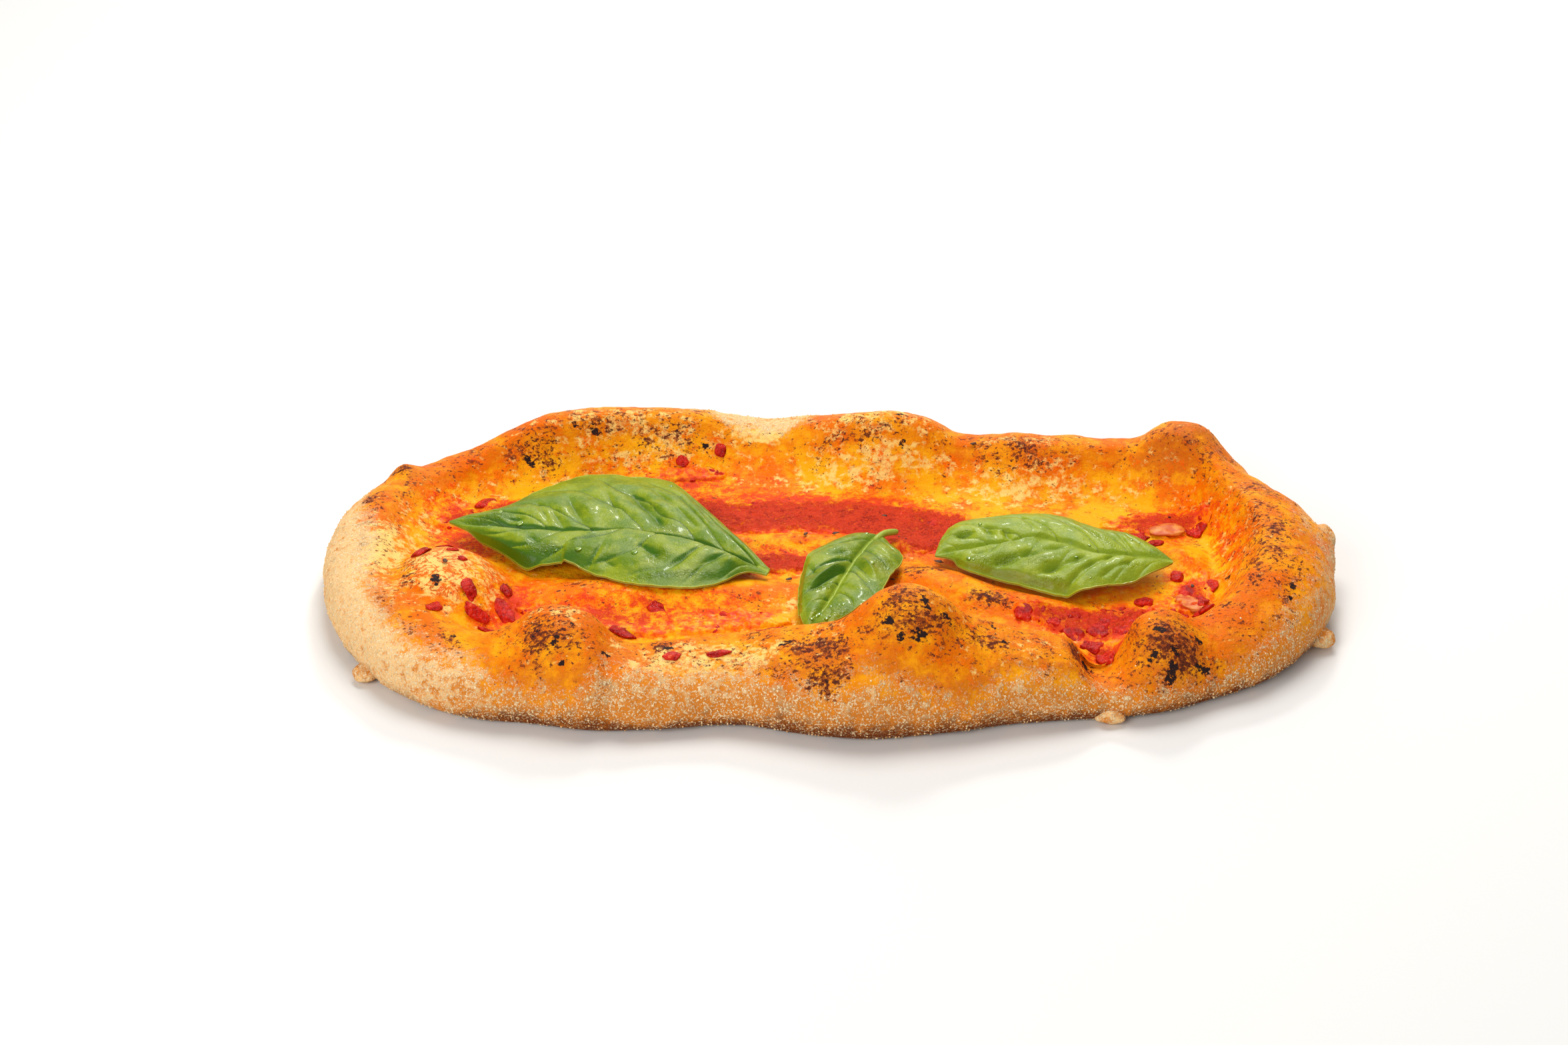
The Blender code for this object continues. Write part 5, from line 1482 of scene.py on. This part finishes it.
def leaf_swelling(number, x, y, share, side, half, to_vein):
    """Height that a leaf adds to its rails: crowned halves, quilting, puckers, midrib, waves and veins."""
    out = np.abs(side)
    steepness, power, level = QUILT_SHAPE
    pillow = np.sin(0.5 * math.pi * np.minimum(to_vein * steepness, 1)) ** power
    across = np.sin(math.pi * np.clip(out, 0, 1) ** QUILT_ACROSS[0]) ** QUILT_ACROSS[1]
    form = np.sin(math.pi * out) * LEAF_PUFF + LEAF_QUILT * (pillow - level) * across
    midrib = MIDRIB_GROOVE[0] * bell(out * half, MIDRIB_GROOVE[1])
    form = form + layered_noise(x, y, LEAF_PUCKER, number) * across - midrib
    wave, along, aside = LEAF_WAVE
    form = form + wave * np.sin(share * along + side * aside) * out ** 4
    return form - VEIN_DEPTH * np.exp(-to_vein / VEIN_WIDTHS[0]) * falling(out, *VEIN_ENDS)


def leaf_folds(x, y, folds):
    """Height of the folds, a crease along each line, and the dark lines of painted shade along them."""
    fold = 0
    line = 0 * x
    for start_x, start_y, end_x, end_y, depth, width in folds:
        distance, along = line_distance(x, y, start_x, start_y, end_x, end_y)
        held = at_least(LEAST_RELIEF, np.sin(math.pi * along))
        fold = fold - depth * held * crease(distance, width)
        # painted shade: a dark line along each fold
        line = np.maximum(line, np.exp(-distance / FOLD_SHADE_WIDTH) * held * min(abs(depth), 1))
    return fold, line


def rolled_edge(number, share, side):
    """1 where the front edge of a leaf rolls under, with smooth steps at both ends."""
    first, last = ROLLED_EDGES[number]
    window = rising(share, first, ROLL_EASE) * falling(share, last, ROLL_EASE)
    return window * rising(np.abs(side), *ROLL_START) * (side < 0)


def slope_to_front(points):
    """How steeply a grid of points falls to the front at each point, from its normals."""
    normal = np.cross(np.gradient(points, axis=0), np.gradient(points, axis=1))
    normal *= np.sign(normal[..., 2:3])
    return -normal[..., 1] / np.maximum(normal[..., 2], SMALLEST)


def build_leaf(number, name, stations, ground, material):
    """A basil leaf: its rails and swellings, bent onto what it rests on, as a thin closed sheet."""
    share, side, half, x, y, height = leaf_rails(stations)
    out = np.abs(side)
    full = np.minimum(half / FULL_HALF, 1)
    wobble = layered_noise(x, y, (VEIN_WOBBLE,), number)
    phase = LEAF_VEINS[number] * (share - VEIN_SLANT * out ** VEIN_BEND + wobble) + 0.5 * (side > 0)
    to_vein = np.abs(phase - np.rint(phase)) * 2
    form = leaf_swelling(number, x, y, share, side, half, to_vein)
    fold, line = leaf_folds(x, y, LEAF_FOLDS[number])
    rolled = rolled_edge(number, share, side)
    lobe = lobe_lift(x, y, share) if number == 0 else 0
    height = height + full * (form + fold + lobe) - ROLL_DROP * rolled
    rest = read_map(ground, x, y) + LEAF_GAP
    near = np.maximum(LEAF_BLEND - np.abs(height - rest), 0)
    height = np.maximum(height, rest) + near ** 2 / (4 * LEAF_BLEND)
    top = np.stack([x, y, height + LEAF_THICKNESS], axis=-1)
    points, quads = closed_sheet(top, LEAF_THICKNESS)
    # painted shade: a deeper green where the leaf slopes down to the front and in its folds
    shaded = LEAF_SHADE[number] * rising(slope_to_front(top), *SHADED_SLOPE)
    strength, shallow, deeper = FOLD_SHADE_DEPTHS
    midrib_width = MIDRIB_WIDTHS[0] + MIDRIB_WIDTHS[1] * (1 - share)
    marks = {
        # the veins, and painted shade as a dark line along each fold
        "vein": np.maximum(bell(to_vein, VEIN_WIDTHS[1]) * falling(out, *VEIN_ENDS) * full, line),
        "midrib": bell(out * half, midrib_width) * falling(share, MIDRIB_ENDS[number], MIDRIB_FADE),
        "young": LEAF_YOUTH[number] * full,
        "front_and_fold_shade": np.clip(shaded + strength * np.clip(-fold - shallow, 0, deeper), 0, 1) * full,
        "edge": np.maximum(rising(out, *PALE_EDGE), PALE_ROLL * rolled),
        "oil": ovals(x, y, LEAF_POOLS[number], power=3),
    }
    wet = marks["oil"]
    marks = {key: np.tile(values.ravel(), 2) for key, values in marks.items()}
    marks["under"] = np.repeat([0.0, 1.0], x.size)
    piece = new_piece(name + "_fresh", points, facing_out(points, quads), material, "basil", marks)
    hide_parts(name)
    return top, wet


def build_oil(tops, material):
    """Small drops of oil on the leaves, most of them where oil stands."""
    draw = np.random.default_rng(91)
    centres = []
    for top, wet in tops:
        i = draw.integers(OIL_MARGINS[0], wet.shape[0] - OIL_MARGINS[0], OIL_TRIES)
        j = draw.integers(OIL_MARGINS[1], wet.shape[1] - OIL_MARGINS[1], OIL_TRIES)
        kept = draw.uniform(size=OIL_TRIES) < OIL_CHANCE[0] + OIL_CHANCE[1] * wet[i, j]
        centres.append(top[i[kept], j[kept]])
    centres = np.concatenate(centres)
    count = len(centres)
    size = random_sizes(draw, count, *DROP_SIZES)
    radii = np.column_stack([size * draw.uniform(*DROP_STRETCH, count), size, DROP_FLATNESS * size])
    turns = draw.uniform(0, math.pi, count)
    lump_piece("oil_drops", (8, 14), centres, radii, turns, material, "basil", rough=0.12, seed=92)


def build_stalk(material):
    """The stub of stalk on the middle leaf: a circle carried along a bent path, closed at its ends."""
    rings, spokes = STALK_CELLS
    path = through_points(np.array(STALK), np.linspace(0, len(STALK) - 1, rings), closed=False)
    turn = 2 * math.pi * np.arange(spokes) / spokes
    heading = np.gradient(path[:, :3], axis=0)
    heading /= np.linalg.norm(heading, axis=1)[:, None]
    aside = np.cross(heading, (0, 0, 1))
    aside /= np.linalg.norm(aside, axis=1)[:, None]
    above = np.cross(aside, heading)
    ring = aside[:, None] * np.cos(turn)[:, None] + above[:, None] * np.sin(turn)[:, None]
    points = shifted(path[:, None, :3] + ring * path[:, 3][:, None, None])
    used, triangles = closed_rings(rings, spokes)
    flat = points.reshape(-1, 3)[used]
    marks = {"midrib": np.ones(len(flat))}
    new_piece("basil_stalk", flat, facing_out(flat, triangles), material, "basil", marks)


# ---- floor, light and camera ---------------------------------------------------------------------
def build_stage():
    """A wide, pale, matt floor."""
    finish = Finish("plain_floor", Roughness=0.9)
    finish.set("Base Color", FLOOR_WHITE)
    corners = [(x * FLOOR_HALF, y * FLOOR_HALF, 0.0) for x, y in ((-1, -1), (1, -1), (1, 1), (-1, 1))]
    mesh = bpy.data.meshes.new("floor")
    mesh.from_pydata(corners, [], [(0, 1, 2, 3)])
    mesh.materials.append(finish.material)
    stage = bpy.data.objects.new("floor", mesh)
    bpy.context.scene.collection.objects.link(stage)


def area_light(name, position, size, power):
    """A round light that faces the lit point."""
    data = bpy.data.lights.new(name, "AREA")
    data.shape = "DISK"
    data.size = size
    data.energy = power
    light = bpy.data.objects.new(name, data)
    light.location = position
    toward = np.array(LIT_POINT) - np.array(position)
    flat = math.hypot(toward[0], toward[1])
    light.rotation_euler = (math.pi / 2 + math.atan2(toward[2], flat), 0, math.atan2(-toward[0], toward[1]))
    bpy.context.scene.collection.objects.link(light)


def build_lights():
    """The area lights, and a room that is white all round."""
    for light in LIGHTS:
        area_light(*light)
    world = bpy.data.worlds.new("soft_room")
    world.use_nodes = True
    background = world.node_tree.nodes["Background"]
    background.inputs["Color"].default_value = (1, 1, 1, 1)
    background.inputs["Strength"].default_value = ROOM_LIGHT
    bpy.context.scene.world = world


def build_camera():
    """The camera, where the photo was taken from."""
    data = bpy.data.cameras.new("camera")
    data.lens = CAMERA_LENS
    data.sensor_width = CAMERA_SENSOR
    camera = bpy.data.objects.new("camera", data)
    camera.location = CAMERA_PLACE
    camera.rotation_euler = (math.radians(CAMERA_TILT), 0, 0)
    bpy.context.scene.collection.objects.link(camera)
    bpy.context.scene.camera = camera


build_camera()
build_stage()
build_lights()
bpy.context.scene.view_settings.view_transform = "Standard"

sauce_map = sauce_cover()
dough_material = crust_finish()
crust_points, crust_flour, crust_rows = build_crust(sauce_map, dough_material)
dough_map = height_map(crust_points)
sauce_material = sauce_finish()
for patch in SAUCE_PATCHES:
    build_sauce(patch[0], patch[1:], sauce_map, dough_map, sauce_material)
build_tabs(dough_material)
tomato_material = chunk_finish()
build_chunks(dough_map, tomato_material)
build_pulp(dough_map, tomato_material)
build_garlic(dough_map, mottled_finish(
    "cooked_garlic", 2.5, 0.6, GARLIC_BROWN, GARLIC_PALE, Roughness=0.35, IOR=1.42,
    Specular_IOR_Level=0.12, Subsurface_Weight=0.1, Subsurface_Radius=GARLIC_SCATTER))
build_herbs(dough_map, mottled_finish("dried_herb", 0.8, 0.5, HERB_BROWN, HERB_DARK, Roughness=0.7))
build_grains(crust_points, crust_flour, crust_rows, mottled_finish(
    "semolina_grain", 3, 0.5, GRAIN_TAN, GRAIN_PALE, Roughness=0.5))
leaf_ground = softened(widened(dough_map, LEAF_REACH), LEAF_REACH)
basil_material = basil_finish()
leaf_tops = [build_leaf(number, leaf[0], leaf[1:], leaf_ground, basil_material)
             for number, leaf in enumerate(BASIL_LEAVES)]
build_oil(leaf_tops, mottled_finish(
    "clear_oil", 2, 0.5, OIL_DEEP, OIL_GREEN, IOR=1.5, Roughness=0.03, Specular_IOR_Level=0.7))
build_stalk(basil_material)
